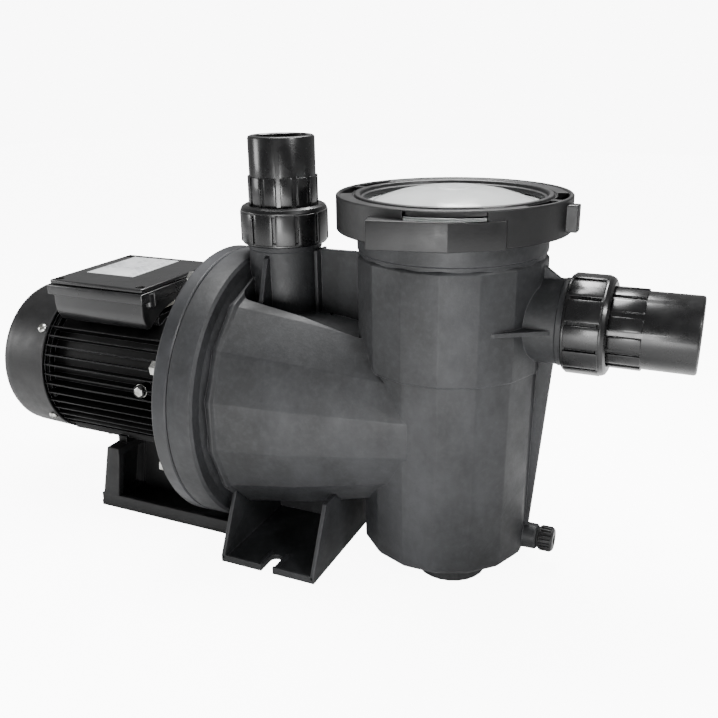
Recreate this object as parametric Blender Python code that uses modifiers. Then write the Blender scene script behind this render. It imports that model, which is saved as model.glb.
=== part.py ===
"""Self-priming swimming pool pump with a strainer pot and a fan-cooled motor.

Metres, +Z up.  The origin is on the ground under the middle of the pump's length.
+X runs from the motor to the suction union, and the pump is symmetric about Y = 0.
"""
import math

import bmesh
import bpy
from mathutils import Matrix, Vector

MM = 0.001
GAP = 0.3 * MM             # clearance between pieces that touch
RUN = 0.1 * MM             # running clearance of turning pieces
OVER = 1.0 * MM            # how far a cutter runs past the face it opens

# ---- Driving dimensions -----------------------------------------------------------------
SHAFT_UP = 142.5                   # shaft height in millimetres
AXIS_Z = SHAFT_UP * MM        # height of the motor shaft
POT_X = 135.45 * MM        # strainer pot's axis
PORT_X = POT_X - 168.9 * MM    # discharge port's axis
FACETS = 16                # flat sides of the pot and of the volute
WIDE = 40                  # sides of the widest round pieces
ROUND = 28                 # sides of a large round piece
SMALL = 16                 # sides of a small round piece

POT_R = 84.0 * MM          # corner radius of the pot at its top
POT_FOOT_R = 80.5 * MM
POT_BORE_R = 75.0 * MM
POT_BOTTOM = 12.0 * MM
POT_FLOOR = 20.0 * MM      # inside
POT_STEP_Z = 196.0 * MM    # the thicker upper wall ends here
POT_SHOULDER = 292.0 * MM
POT_TOP = 334.0 * MM
POT_RIM_R = 92.0 * MM
DRAIN_Z = 27.0 * MM
LEDGE_Z = 203.0 * MM       # the basket hangs on this ledge
LEDGE_R = 69.0 * MM

RING_R = 102.4 * MM        # lid's lock ring
RING_BOTTOM = 318.0 * MM
RING_TOP = 348.4 * MM
RING_MOUTH_R = 77.5 * MM

FLANGE_R = 139.0 * MM
FLANGE_X = POT_X - 223.0 * MM      # face between the pump body and the seal plate
PLATE_T = 16.0 * MM
VOLUTE_A = (POT_X - 188.5 * MM, 122.5 * MM)
VOLUTE_B = (POT_X - 121.0 * MM, 111.0 * MM)
VOLUTE_C = (POT_X - 11.0 * MM, 82.8 * MM)
CHAMBER_R = 88.0 * MM
CHAMBER_END = POT_X - 104.0 * MM
EYE_R = 20.0 * MM

PORT_BORE_R = 25.0 * MM
SUCTION_Z = 242.2 * MM
SUCTION_FACE = POT_X + 131.0 * MM
SUCTION_END = POT_X + 213.1 * MM
DISCHARGE_FACE = (SHAFT_UP + 175.5) * MM
DISCHARGE_END = (SHAFT_UP + 250.7) * MM
SUCTION_SPIGOT_R = 38.6 * MM       # the faces that the union nuts draw together
DISCHARGE_SPIGOT_R = 37.2 * MM

HOUSING_REAR = POT_X - 425.0 * MM
HOUSING_FRONT = POT_X - 262.0 * MM
HOUSING_BORE_R = 64.0 * MM
HOUSING_R = 69.0 * MM
FIN_R = 81.0 * MM
COVER_R = 83.0 * MM
COVER_REAR = POT_X - 484.0 * MM

BOX_X = (POT_X - 414.6 * MM, POT_X - 295.6 * MM)
BOX_HALF_Y = 65.2 * MM
BOX_BOTTOM = AXIS_Z + 57.5 * MM
BOX_RIM = AXIS_Z + 95.5 * MM
BOX_TOP = AXIS_Z + 105.8 * MM
PAD_Z = AXIS_Z + 70.5 * MM         # flat pad of the housing under the terminal box
GLAND_SPOT = (POT_X - 330.0 * MM, AXIS_Z + 84.5 * MM)      # x and z of the cable gland
LABEL_X = (POT_X - 400.0 * MM, POT_X - 338.0 * MM)
LABEL_Y = (-25.0 * MM, 56.0 * MM)

BASE_X = (POT_X - 371.0 * MM, POT_X - 188.2 * MM)
BASE_HALF_Y = 75.7 * MM
BASE_T = 15.5 * MM
CRADLE_Z = (AXIS_Z - 69.5 * MM, AXIS_Z - 54.5 * MM)
FOOT_X = (POT_X - 187.8 * MM, POT_X - 87.3 * MM)
FOOT_HALF_Y = 119.2 * MM

COLOURS = {
    "filled_plastic": (0.035, 0.036, 0.038, 0.62, 0.0),
    "dark_plastic": (0.020, 0.020, 0.022, 0.45, 0.0),
    "gloss_plastic": (0.010, 0.010, 0.011, 0.22, 0.0),
    "clear_plastic": (0.80, 0.83, 0.84, 0.12, 0.0),
    "white_plastic": (0.62, 0.63, 0.62, 0.50, 0.0),
    "painted_metal": (0.012, 0.012, 0.013, 0.42, 0.0),
    "aluminium": (0.45, 0.45, 0.46, 0.40, 1.0),
    "steel": (0.52, 0.52, 0.53, 0.30, 1.0),
    "electrical_steel": (0.16, 0.16, 0.17, 0.45, 1.0),
    "copper": (0.55, 0.22, 0.10, 0.35, 1.0),
    "rubber": (0.012, 0.012, 0.012, 0.75, 0.0),
    "ceramic": (0.75, 0.73, 0.68, 0.30, 0.0),
    "label": (0.48, 0.49, 0.50, 0.40, 0.3),
}


def clear_scene():
    for obj in list(bpy.data.objects):
        bpy.data.objects.remove(obj, do_unlink=True)
    for name in ("pool_pump", "cutters"):
        bpy.context.scene.collection.children.link(bpy.data.collections.new(name))


def material(kind, node):
    """A Principled material of one kind for one sub-part."""
    red, green, blue, rough, metal = COLOURS[kind]
    mat = bpy.data.materials.new(node + "_" + kind)
    mat.use_nodes = True
    shader = mat.node_tree.nodes["Principled BSDF"]
    shader.inputs["Base Color"].default_value = (red, green, blue, 1.0)
    shader.inputs["Roughness"].default_value = rough
    shader.inputs["Metallic"].default_value = metal
    mat.diffuse_color = (red, green, blue, 1.0)
    return mat


def add_object(name, mesh, kind=None, at=(0, 0, 0), turn=(0, 0, 0)):
    """A sub-part when it has a material kind, and otherwise a cutter."""
    obj = bpy.data.objects.new(name, mesh)
    obj.location = at
    obj.rotation_euler = turn
    if kind:
        mesh.materials.append(material(kind, name))
        bpy.data.collections["pool_pump"].objects.link(obj)
    else:
        obj.hide_render = True
        obj.display_type = "WIRE"
        bpy.data.collections["cutters"].objects.link(obj)
    return obj


def axis_empty(name, at):
    empty = bpy.data.objects.new(name, None)
    empty.location = at
    bpy.data.collections["pool_pump"].objects.link(empty)
    return empty


def hang(obj, empty):
    """Parents a piece to the empty on its axis and leaves it where it is."""
    obj.parent = empty
    obj.location = Vector(obj.location) - Vector(empty.location)


# ---- Shapes -----------------------------------------------------------------------------
ALONG_X = (0, math.pi / 2, 0)      # turns a piece made about Z so that it lies about X
UPRIGHT = (0, 0, 0)


def turned(name, profile, kind=None, at=(0, 0, 0), turn=UPRIGHT, steps=ROUND, first=0.0):
    """A solid turned about its Z: profile holds (height, radius), top or bottom first.

    A profile that ends on the axis is a solid; one that doesn't is closed into a ring."""
    is_ring = min(radius for height, radius in profile) > 0
    points = list(profile)
    if is_ring:
        area = sum(points[i - 1][1] * points[i][0] - points[i][1] * points[i - 1][0]
                   for i in range(len(points)))
        if area > 0:
            points.reverse()
    elif points[0][0] < points[-1][0]:
        points.reverse()
    mesh = bpy.data.meshes.new(name)
    cos, sin = math.cos(first), math.sin(first)
    count = len(points)
    edges = [(i, i + 1) for i in range(count - 1)]
    if is_ring:
        edges.append((count - 1, 0))
    mesh.from_pydata([(r * cos, r * sin, h) for h, r in points], edges, [])
    obj = add_object(name, mesh, kind, at, turn)
    screw = obj.modifiers.new("turn", "SCREW")
    screw.steps = screw.render_steps = steps
    screw.use_merge_vertices = True
    screw.merge_threshold = 0.00001
    screw.use_smooth_shade = False
    flat = obj.modifiers.new("flat", "DECIMATE")      # one face for each flat end
    flat.decimate_type = "DISSOLVE"
    flat.angle_limit = 0.002
    return obj


def bar(name, length, radius, kind=None, at=(0, 0, 0), turn=UPRIGHT, steps=SMALL):
    """A cylinder about its own Z, starting at its origin."""
    bm = bmesh.new()
    bmesh.ops.create_cone(bm, cap_ends=True, segments=steps, radius1=radius, radius2=radius,
                          depth=length, matrix=Matrix.Translation((0, 0, length / 2)))
    mesh = bpy.data.meshes.new(name)
    bm.to_mesh(mesh)
    bm.free()
    return add_object(name, mesh, kind, at, turn)


def block(name, low, high, kind=None, bevel=0.0):
    """A box between two corners."""
    size = Vector(high) - Vector(low)
    bm = bmesh.new()
    bmesh.ops.create_cube(bm, size=1.0, matrix=Matrix.Diagonal((*size, 1.0)))
    mesh = bpy.data.meshes.new(name)
    bm.to_mesh(mesh)
    bm.free()
    obj = add_object(name, mesh, kind, (Vector(high) + Vector(low)) / 2)
    if bevel:
        edge = obj.modifiers.new("bevel", "BEVEL")
        edge.width = bevel
        edge.segments = 1
    return obj


def plate(name, outline, low, high, plane="XZ", kind=None):
    """A flat outline given thickness.  plane names the outline's axes; low and high are
    the ends along the third axis."""
    bm = bmesh.new()
    third = {"XZ": "Y", "YZ": "X", "XY": "Z"}[plane]

    def place(u, v, w):
        spot = {plane[0]: u, plane[1]: v, third: w}
        return Vector((spot["X"], spot["Y"], spot["Z"]))
    face = bm.faces.new([bm.verts.new(place(u, v, low)) for u, v in outline])
    push = bmesh.ops.extrude_face_region(bm, geom=[face])
    moved = [v for v in push["geom"] if isinstance(v, bmesh.types.BMVert)]
    bmesh.ops.translate(bm, verts=moved, vec=place(0, 0, high - low))
    bmesh.ops.recalc_face_normals(bm, faces=bm.faces)
    mesh = bpy.data.meshes.new(name)
    bm.to_mesh(mesh)
    bm.free()
    return add_object(name, mesh, kind)


def evaluated(obj):
    """The object's mesh with its modifiers, in its own space."""
    bpy.context.view_layer.update()
    graph = bpy.context.evaluated_depsgraph_get()
    return bpy.data.meshes.new_from_object(obj.evaluated_get(graph))


def joined(name, pieces):
    """Cutters that don't touch each other, made one cutter."""
    bm = bmesh.new()
    for piece in pieces:
        mesh = evaluated(piece)
        mesh.transform(piece.matrix_world)
        bm.from_mesh(mesh)
    mesh = bpy.data.meshes.new(name)
    bm.to_mesh(mesh)
    bm.free()
    for piece in pieces:
        bpy.data.objects.remove(piece, do_unlink=True)
    return add_object(name, mesh)


def ring_of(make, count, start=0.0, about=(0, 0, 0), axis="Z"):
    """count copies of the cutter that make() returns, spaced round an axis."""
    copies = []
    for i in range(count):
        spin = Matrix.Rotation(start + i * math.tau / count, 4, axis)
        centre = Matrix.Translation(about)
        piece = make(i)
        bpy.context.view_layer.update()
        piece.matrix_world = centre @ spin @ centre.inverted() @ piece.matrix_world
        copies.append(piece)
    bpy.context.view_layer.update()
    return copies


def change(obj, operation, *cutters):
    for cutter in cutters:
        mod = obj.modifiers.new(cutter.name, "BOOLEAN")
        mod.operation = operation
        mod.solver = "EXACT"
        mod.object = cutter


def cut(obj, *cutters):
    change(obj, "DIFFERENCE", *cutters)


def add(obj, *pieces):
    change(obj, "UNION", *pieces)


def polar(radius, angle, about=(0.0, 0.0)):
    """A point at a radius and an angle in degrees."""
    turn = math.radians(angle)
    return about[0] + radius * math.cos(turn), about[1] + radius * math.sin(turn)


# ---- Pump body --------------------------------------------------------------------------
def pot_outside(name, kind=None):
    half_facet = math.pi / FACETS
    profile = [(POT_SHOULDER + OVER, 0), (POT_SHOULDER + OVER, POT_R + 0.4 * MM),
               (POT_STEP_Z + 1 * MM, POT_R), (POT_STEP_Z, POT_R - 0.8 * MM),
               (POT_BOTTOM + 5 * MM, POT_FOOT_R), (POT_BOTTOM, POT_FOOT_R - 4 * MM),
               (POT_BOTTOM, 0)]
    return turned(name, profile, kind, (POT_X, 0, 0), steps=FACETS, first=half_facet)


def volute_outside(name, grow=0.0):
    """The volute's sixteen-sided cone about the shaft, grown by a clearance."""
    xa, ra = VOLUTE_A
    xb, rb = VOLUTE_B
    xc, rc = VOLUTE_C
    profile = [(xa - 8 * MM, 0), (xa - 8 * MM, ra + grow), (xa, ra + grow), (xb, rb + grow),
               (xc, rc + grow), (xc + 6 * MM, rc - 8 * MM + grow), (xc + 6 * MM, 0)]
    return turned(name, profile, at=(0, 0, AXIS_Z), turn=ALONG_X, steps=FACETS,
                  first=math.pi / FACETS)


def neck(name, length, face_r, body_r, at, turn):
    """A port's neck: its plain part and the turned spigot that the union nut covers."""
    spigot = 25.2 * MM
    profile = [(0, 0), (0, body_r), (length - spigot, body_r),
               (length - spigot, face_r), (length, face_r), (length, 0)]
    return turned(name, profile, at=at, turn=turn, steps=24)


def pump_body():
    body = pot_outside("pump_body", "filled_plastic")
    throat = turned("pot_throat", [
        (POT_SHOULDER, 0), (POT_SHOULDER, POT_R - 1 * MM), (POT_SHOULDER + 7 * MM, POT_R - 1 * MM),
        (POT_SHOULDER + 8 * MM, POT_R + 0.8 * MM), (RING_BOTTOM + 3 * MM, POT_R + 0.8 * MM),
        (RING_BOTTOM + 5 * MM, POT_RIM_R), (POT_TOP, POT_RIM_R), (POT_TOP, 0)],
        at=(POT_X, 0, 0))
    rim = [(FLANGE_X, 0), (FLANGE_X, FLANGE_R), (FLANGE_X + 24 * MM, FLANGE_R - 0.8 * MM),
           (FLANGE_X + 27 * MM, FLANGE_R - 4 * MM), (FLANGE_X + 30 * MM, 124 * MM),
           (FLANGE_X + 33 * MM, 118 * MM), (FLANGE_X + 33 * MM, 0)]
    flange = turned("body_flange", rim, at=(0, 0, AXIS_Z), turn=ALONG_X, steps=WIDE)
    valley_x = (VOLUTE_A[0] + 1 * MM, POT_X - 60 * MM)
    valley = plate("top_valley", [
        (valley_x[0], (SHAFT_UP + 93.5) * MM), (valley_x[1], (SHAFT_UP + 75.5) * MM),
        (valley_x[1], (SHAFT_UP + 157.5) * MM), (valley_x[0], (SHAFT_UP + 157.5) * MM)], -56 * MM, 56 * MM)
    volute = volute_outside("volute_outside")
    cut(volute, valley)
    neck_z = (SHAFT_UP + 57.5) * MM
    suction = neck("suction_neck", SUCTION_FACE - POT_X - 40 * MM, SUCTION_SPIGOT_R, 37.4 * MM,
                   (POT_X + 40 * MM, 0, SUCTION_Z), ALONG_X)
    discharge = neck("discharge_neck", DISCHARGE_FACE - neck_z, DISCHARGE_SPIGOT_R, 34.8 * MM,
                     (PORT_X, 0, neck_z), UPRIGHT)
    add(body, volute, flange, throat, suction, discharge, *body_ribs())
    cut(body, *body_hollows())
    return body


def body_ribs():
    """Webs and fins that stiffen the two necks, the loop foot and the drain boss."""
    half = 2.5 * MM
    web = block("discharge_web", (PORT_X + 20 * MM, -half, AXIS_Z + 60 * MM),
                (POT_X - 70 * MM, half, (SHAFT_UP + 146.5) * MM))
    brace = plate("discharge_brace", [
        (PORT_X - 20 * MM, (SHAFT_UP + 145.5) * MM),
        (PORT_X - 35.5 * MM, (SHAFT_UP + 145.5) * MM),
        (FLANGE_X + 26 * MM, (SHAFT_UP + 119.5) * MM), (FLANGE_X + 26 * MM, (SHAFT_UP + 82.5) * MM),
        (PORT_X - 20 * MM, (SHAFT_UP + 82.5) * MM)], -half, half)
    top_fin = plate("suction_top_fin", [
        (POT_X + 70 * MM, 270 * MM), (POT_X + 100 * MM, 270 * MM),
        (POT_X + 100 * MM, 278 * MM), (POT_X + 82 * MM, 291 * MM),
        (POT_X + 70 * MM, 291 * MM)], -half, half)
    keel = plate("suction_keel", [
        (POT_X + 70 * MM, 215 * MM), (POT_X + 96 * MM, 215 * MM), (POT_X + 95.5 * MM, 201 * MM),
        (POT_X + 81.6 * MM, 28 * MM), (POT_X + 70 * MM, 20 * MM)], -half, half)
    side_fins = plate("suction_side_fins", [
        (POT_X + 50 * MM, 64 * MM), (POT_X + 58 * MM, 62 * MM), (POT_X + 98 * MM, 38 * MM),
        (POT_X + 98 * MM, -38 * MM), (POT_X + 58 * MM, -62 * MM), (POT_X + 50 * MM, -64 * MM)],
        SUCTION_Z - 2.2 * MM, SUCTION_Z + 1.8 * MM, "XY")
    foot = plate("pot_foot", stadium(17 * MM + POT_X, 33 * MM, 33 * MM), 0, POT_FLOOR - 2 * MM, "XY")
    drain = bar("drain_boss", 32 * MM, 12 * MM, at=(POT_X + 60 * MM, 0, DRAIN_Z), turn=ALONG_X)
    return [web, brace, top_fin, keel, side_fins, foot, drain]


def stadium(x, half_length, radius, sides=8):
    """An outline along Y with round ends."""
    right = [polar(radius, a * 180 / sides, (x, half_length)) for a in range(sides + 1)]
    left = [polar(radius, 180 + a * 180 / sides, (x, -half_length)) for a in range(sides + 1)]
    return right + left


def body_hollows():
    pot = turned("pot_bore", [
        (POT_TOP + OVER, 0), (POT_TOP + OVER, POT_BORE_R), (LEDGE_Z, POT_BORE_R),
        (LEDGE_Z, LEDGE_R), (POT_FLOOR + 4 * MM, LEDGE_R - 2 * MM),
        (POT_FLOOR, LEDGE_R - 6 * MM), (POT_FLOOR, 0)], at=(POT_X, 0, 0))
    chamber = turned("volute_bore", [
        (FLANGE_X - OVER, 0), (FLANGE_X - OVER, 100 * MM), (FLANGE_X + 12 * MM, 100 * MM),
        (FLANGE_X + 12 * MM, CHAMBER_R), (CHAMBER_END - 14 * MM, CHAMBER_R - 4 * MM),
        (CHAMBER_END, 70 * MM), (CHAMBER_END, 0)], at=(0, 0, AXIS_Z), turn=ALONG_X, steps=WIDE)
    eye = bar("suction_eye", 60 * MM, EYE_R, at=(CHAMBER_END - 5 * MM, 0, AXIS_Z), turn=ALONG_X,
              steps=ROUND)
    suction = bar("suction_bore", 100 * MM, PORT_BORE_R,
                  at=(SUCTION_FACE + OVER - 100 * MM, 0, SUCTION_Z), turn=ALONG_X, steps=24)
    discharge = bar("discharge_bore", 140 * MM, PORT_BORE_R,
                    at=(PORT_X, 0, DISCHARGE_FACE + OVER - 140 * MM), steps=24)
    drain = bar("drain_bore", 60 * MM, 6.3 * MM, at=(POT_X + 40 * MM, 0, DRAIN_Z), turn=ALONG_X)
    groove = ring_groove("lid_groove", 83.5 * MM, 2.2 * MM, (POT_X, 0, POT_TOP), UPRIGHT)
    suction_groove = ring_groove("suction_groove", 31.5 * MM, 2.0 * MM,
                                 (SUCTION_FACE, 0, SUCTION_Z), ALONG_X)
    discharge_groove = ring_groove("discharge_groove", 31.0 * MM, 2.0 * MM,
                                   (PORT_X, 0, DISCHARGE_FACE), UPRIGHT)
    flange_groove = ring_groove("flange_groove", 108 * MM, 2.2 * MM,
                                (FLANGE_X, 0, AXIS_Z), ALONG_X)
    wet = joined("wet_space", [pot])
    add(wet, chamber, eye, suction, discharge, drain)
    loop = plate("pot_foot_hollow", stadium(17 * MM + POT_X, 33 * MM, 27 * MM),
                 -OVER, POT_BOTTOM - 2 * MM, "XY")
    bolts = joined("flange_holes", flange_bolt_row(
        "flange_hole", lambda name: bar(name, 24 * MM, 4.4 * MM, steps=8,
                                        at=(FLANGE_X - 2 * MM, 0, AXIS_Z), turn=ALONG_X)))
    grooves = joined("seal_grooves", [groove, suction_groove, discharge_groove, flange_groove])
    return [wet, grooves, loop, bolts]


def ring_groove(name, radius, half, at, turn):
    """A square groove in a sealing face, for an O-ring."""
    return turned(name, [(-half, radius - half), (half, radius - half),
                         (half, radius + half), (-half, radius + half)], at=at, turn=turn)


BOLT_CIRCLE = 128.0 * MM
BOLT_COUNT = 8


def flange_bolt_row(name, make):
    """Pieces on the flange's bolt circle, the first half a pitch above the level."""
    row = []
    for i in range(BOLT_COUNT):
        y, z = polar(BOLT_CIRCLE, (i + 0.5) * 360 / BOLT_COUNT, (0.0, AXIS_Z))
        piece = make(f"{name}_{i + 1}")
        piece.location = (piece.location.x, y, z)
        row.append(piece)
    bpy.context.view_layer.update()
    return row


def pump_foot():
    """The foot under the volute: a sole, two gussets and a slot for a bolt."""
    x0, x1 = FOOT_X
    wall = 4 * MM
    foot = block("pump_foot", (x0, -FOOT_HALF_Y, 0), (x1, FOOT_HALF_Y, 5 * MM), "filled_plastic")
    outline = [(-FOOT_HALF_Y, 0), (FOOT_HALF_Y, 0), (89 * MM, AXIS_Z - 74.5 * MM),
               (-89 * MM, AXIS_Z - 74.5 * MM)]
    gussets = [plate("foot_gusset_rear", outline, x0, x0 + wall, "YZ"),
               plate("foot_gusset_front", outline, x1 - wall, x1, "YZ")]
    cross = block("foot_cross_wall", (x0 + OVER, -8 * MM, 2 * MM),
                  (x1 - OVER, 8 * MM, AXIS_Z - 82.5 * MM))
    add(foot, *gussets, cross)
    slots = []
    middle = (x0 + x1) / 2
    for side in (-1, 1):
        tip = side * (FOOT_HALF_Y - 24 * MM)
        outer = side * (FOOT_HALF_Y + OVER)
        slots.append(block(f"foot_slot_{side + 2}", (middle - 6.3 * MM, min(tip, outer), -OVER),
                           (middle + 6.3 * MM, max(tip, outer), 6 * MM)))
    volute = volute_outside("foot_saddle", grow=GAP)
    flange = turned("foot_flange_saddle", [
        (FLANGE_X, 0), (FLANGE_X, FLANGE_R + GAP), (FLANGE_X + 28 * MM, FLANGE_R + GAP),
        (FLANGE_X + 36 * MM, 119 * MM), (FLANGE_X + 36 * MM, 0)],
        at=(0, 0, AXIS_Z), turn=ALONG_X, steps=WIDE)
    cut(foot, *slots, volute, flange)


# ---- Seal plate, diffuser and seals --------------------------------------------------------
SHAFT_R = 9.0 * MM
PLATE_REAR = FLANGE_X - PLATE_T


def seal_plate():
    plate_body = turned("seal_plate", [
        (PLATE_REAR, 16 * MM), (PLATE_REAR, 60 * MM), (PLATE_REAR + 5 * MM, 62 * MM),
        (PLATE_REAR + 5 * MM, 112 * MM), (PLATE_REAR, 114 * MM), (PLATE_REAR, FLANGE_R + 0.5 * MM),
        (FLANGE_X - GAP, FLANGE_R + 0.5 * MM), (FLANGE_X - GAP, 99.5 * MM),
        (FLANGE_X + 8 * MM, 99.5 * MM), (FLANGE_X + 8 * MM, 70 * MM),
        (FLANGE_X + 2 * MM, 60 * MM), (FLANGE_X + 2 * MM, 16 * MM)],
        "filled_plastic", (0, 0, AXIS_Z), ALONG_X, steps=WIDE)
    holes = joined("plate_holes", flange_bolt_row(
        "plate_hole", lambda name: bar(name, PLATE_T + 2 * OVER, 4.4 * MM, steps=8,
                                       at=(PLATE_REAR - OVER, 0, AXIS_Z), turn=ALONG_X)))
    shelf = block("plate_base_flat", (PLATE_REAR - OVER, -80 * MM, -OVER),
                  (FLANGE_X + OVER, 80 * MM, BASE_T + 3 * MM))
    cut(plate_body, holes, shelf)
    turned("casing_o_ring", [
        (FLANGE_X - 0.1 * MM, 106.2 * MM), (FLANGE_X + 1.8 * MM, 106.2 * MM),
        (FLANGE_X + 1.8 * MM, 109.8 * MM), (FLANGE_X - 0.1 * MM, 109.8 * MM)],
        "rubber", (0, 0, AXIS_Z), ALONG_X)
    turned("seal_seat", [
        (FLANGE_X - 8 * MM, SHAFT_R + 1 * MM), (FLANGE_X + 1 * MM, SHAFT_R + 1 * MM),
        (FLANGE_X + 1 * MM, 15.6 * MM), (FLANGE_X - 8 * MM, 15.6 * MM)],
        "ceramic", (0, 0, AXIS_Z), ALONG_X, steps=SMALL)


IMPELLER_REAR = FLANGE_X + 17 * MM
IMPELLER_FRONT = IMPELLER_REAR + 30 * MM
IMPELLER_R = 58 * MM


def diffuser():
    """The cup between the impeller and the pot, with its eye pipe and outlet slots."""
    front = CHAMBER_END - 1 * MM
    cup = turned("diffuser", [
        (IMPELLER_REAR - 4 * MM, 64 * MM), (front - 8 * MM, 64 * MM), (front, 56 * MM),
        (front, EYE_R - 2 * GAP), (front + 18 * MM, EYE_R - 2 * GAP),
        (front + 18 * MM, EYE_R - 3 * MM), (front - 3 * MM, EYE_R - 3 * MM),
        (front - 28 * MM, EYE_R - 1 * MM), (front - 28 * MM, EYE_R + 2 * MM),
        (front - 8 * MM, EYE_R + 3 * MM), (front - 8 * MM, 55 * MM),
        (front - 11 * MM, 61 * MM), (IMPELLER_REAR - 4 * MM, 61 * MM)],
        "dark_plastic", (0, 0, AXIS_Z), ALONG_X)
    vanes = joined("diffuser_slots", ring_of(
        lambda i: block(f"diffuser_slot_{i}",
                        (IMPELLER_REAR + 6 * MM, -9 * MM, AXIS_Z + 57 * MM),
                        (IMPELLER_FRONT - 4 * MM, 9 * MM, AXIS_Z + 67 * MM)),
        8, about=(0, 0, AXIS_Z), axis="X"))
    cut(cup, vanes)


# ---- Motor --------------------------------------------------------------------------------
def fin_outline():
    """The housing's section: fins all round except under the box and over the cradle."""
    points = []
    count, width = 40, 1.3
    for i in range(count):
        angle = 90 + (i + 0.5) * 360 / count
        is_plain = min(abs(angle - 90), abs(angle - 450)) < 47 or abs(angle - 270) < 37
        tip = HOUSING_R if is_plain else FIN_R
        for radius, offset in ((HOUSING_R, -width * 1.1), (tip, -width * 0.8),
                               (tip, width * 0.8), (HOUSING_R, width * 1.1)):
            if is_plain and offset in (-width * 0.8, width * 0.8):
                continue
            points.append(polar(radius, angle + offset, (0.0, AXIS_Z)))
    return points


def motor_housing():
    housing = plate("motor_housing", fin_outline(), HOUSING_REAR + GAP, HOUSING_FRONT, "YZ",
                    "painted_metal")
    pad = block("box_pad", (BOX_X[0] + 6 * MM, -36 * MM, AXIS_Z + 60 * MM),
                (BOX_X[1] - 6 * MM, 36 * MM, PAD_Z))
    cradle = block("motor_cradle", (HOUSING_REAR + 6 * MM, -46 * MM, CRADLE_Z[0]),
                   (HOUSING_FRONT - 2 * MM, 46 * MM, CRADLE_Z[1]))
    add(housing, pad, cradle)
    bore = bar("housing_bore", HOUSING_FRONT - HOUSING_REAR + 2 * OVER, HOUSING_BORE_R,
               at=(HOUSING_REAR - OVER, 0, AXIS_Z), turn=ALONG_X, steps=ROUND)
    wire_hole = bar("wire_hole", 30 * MM, 8 * MM, at=(POT_X - 330 * MM, 0, PAD_Z - 20 * MM))
    feet = joined("cradle_holes", [
        bar(f"cradle_hole_{i}", 9 * MM, 3.3 * MM, at=(x, y, CRADLE_Z[0] - OVER), steps=12)
        for i, (x, y) in enumerate(foot_bolt_spots())])
    cut(housing, bore, wire_hole, feet)


def foot_bolt_spots():
    """Bolts that hold the motor's cradle down from below."""
    return [(POT_X - 382 * MM, -34 * MM), (POT_X - 382 * MM, 34 * MM)]


def shield(name, rear, front, bearing_face, toward, kind):
    """An end shield: a dished disc with a bearing pocket open on the motor side."""
    pocket = 22.6 * MM
    return turned(name, [
        (rear, 11.5 * MM), (rear, 78.5 * MM), (front, 78.5 * MM), (front, HOUSING_BORE_R - GAP),
        (front + toward * 4 * MM, HOUSING_BORE_R - GAP),
        (front + toward * 4 * MM, HOUSING_BORE_R - 6 * MM),
        (front - toward * 3 * MM, HOUSING_BORE_R - 8 * MM), (front - toward * 3 * MM, 30 * MM),
        (bearing_face, 28 * MM), (bearing_face, pocket),
        (rear + toward * 5 * MM, pocket), (rear + toward * 5 * MM, 11.5 * MM)],
        kind, (0, 0, AXIS_Z), ALONG_X)


def motor_ends():
    front_out = PLATE_REAR - GAP
    bore_r = (SHAFT_R + RUN) / math.cos(math.pi / SMALL)      # clears the turning shaft's corners
    shield("front_shield", front_out, HOUSING_FRONT + GAP, HOUSING_FRONT + 2 * MM, -1, "aluminium")
    rear_out = HOUSING_REAR - 14 * MM
    shield("rear_shield", rear_out, HOUSING_REAR, HOUSING_REAR + 2 * MM, 1, "aluminium")
    for name, seat, way in (("front_bearing", front_out - 5.3 * MM, -1),
                            ("rear_bearing", rear_out + 5.3 * MM, 1)):
        turned(name, [(seat, bore_r), (seat, 22.3 * MM), (seat + way * 12 * MM, 22.3 * MM),
                      (seat + way * 12 * MM, bore_r)],
               "steel", (0, 0, AXIS_Z), ALONG_X, steps=SMALL)


STACK_X = (POT_X - 385 * MM, POT_X - 300 * MM)


def stator():
    x0, x1 = STACK_X
    turned("stator_core", [
        (x0, 34 * MM), (x0, HOUSING_BORE_R - GAP), (x1, HOUSING_BORE_R - GAP), (x1, 34 * MM)],
        "electrical_steel", (0, 0, AXIS_Z), ALONG_X)
    for name, start, end in (("rear_winding", x0 - 22 * MM, x0 - GAP),
                             ("front_winding", x1 + GAP, x1 + 22 * MM)):
        turned(name, [(start, 40 * MM), (start, 54 * MM), (end, 58 * MM), (end, 37 * MM)],
               "copper", (0, 0, AXIS_Z), ALONG_X, steps=24)


def rotor():
    """Everything that turns with the shaft hangs on one empty on the shaft's axis."""
    axis = axis_empty("shaft_axis", (POT_X - 340 * MM, 0, AXIS_Z))
    x0, x1 = STACK_X
    fan_x = HOUSING_REAR - 40 * MM
    turned("shaft", [
        (fan_x - 6 * MM, 0), (fan_x - 6 * MM, SHAFT_R - 1 * MM), (fan_x, SHAFT_R),
        (IMPELLER_FRONT - 8 * MM, SHAFT_R), (IMPELLER_FRONT - 8 * MM, 0)],
        "steel", (0, 0, AXIS_Z), ALONG_X, steps=SMALL)
    turned("rotor_core", [
        (x0, SHAFT_R + GAP), (x0, 33.2 * MM), (x1, 33.2 * MM), (x1, SHAFT_R + GAP)],
        "electrical_steel", (0, 0, AXIS_Z), ALONG_X, steps=24)
    turned("seal_ring", [
        (FLANGE_X + 1.3 * MM, SHAFT_R + GAP), (FLANGE_X + 1.3 * MM, 14.5 * MM),
        (IMPELLER_REAR - GAP, 14.5 * MM), (IMPELLER_REAR - GAP, SHAFT_R + GAP)],
        "rubber", (0, 0, AXIS_Z), ALONG_X, steps=SMALL)
    impeller()
    cooling_fan(fan_x)
    for name in ("shaft", "rotor_core", "seal_ring", "impeller", "cooling_fan"):
        hang(bpy.data.objects[name], axis)


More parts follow.
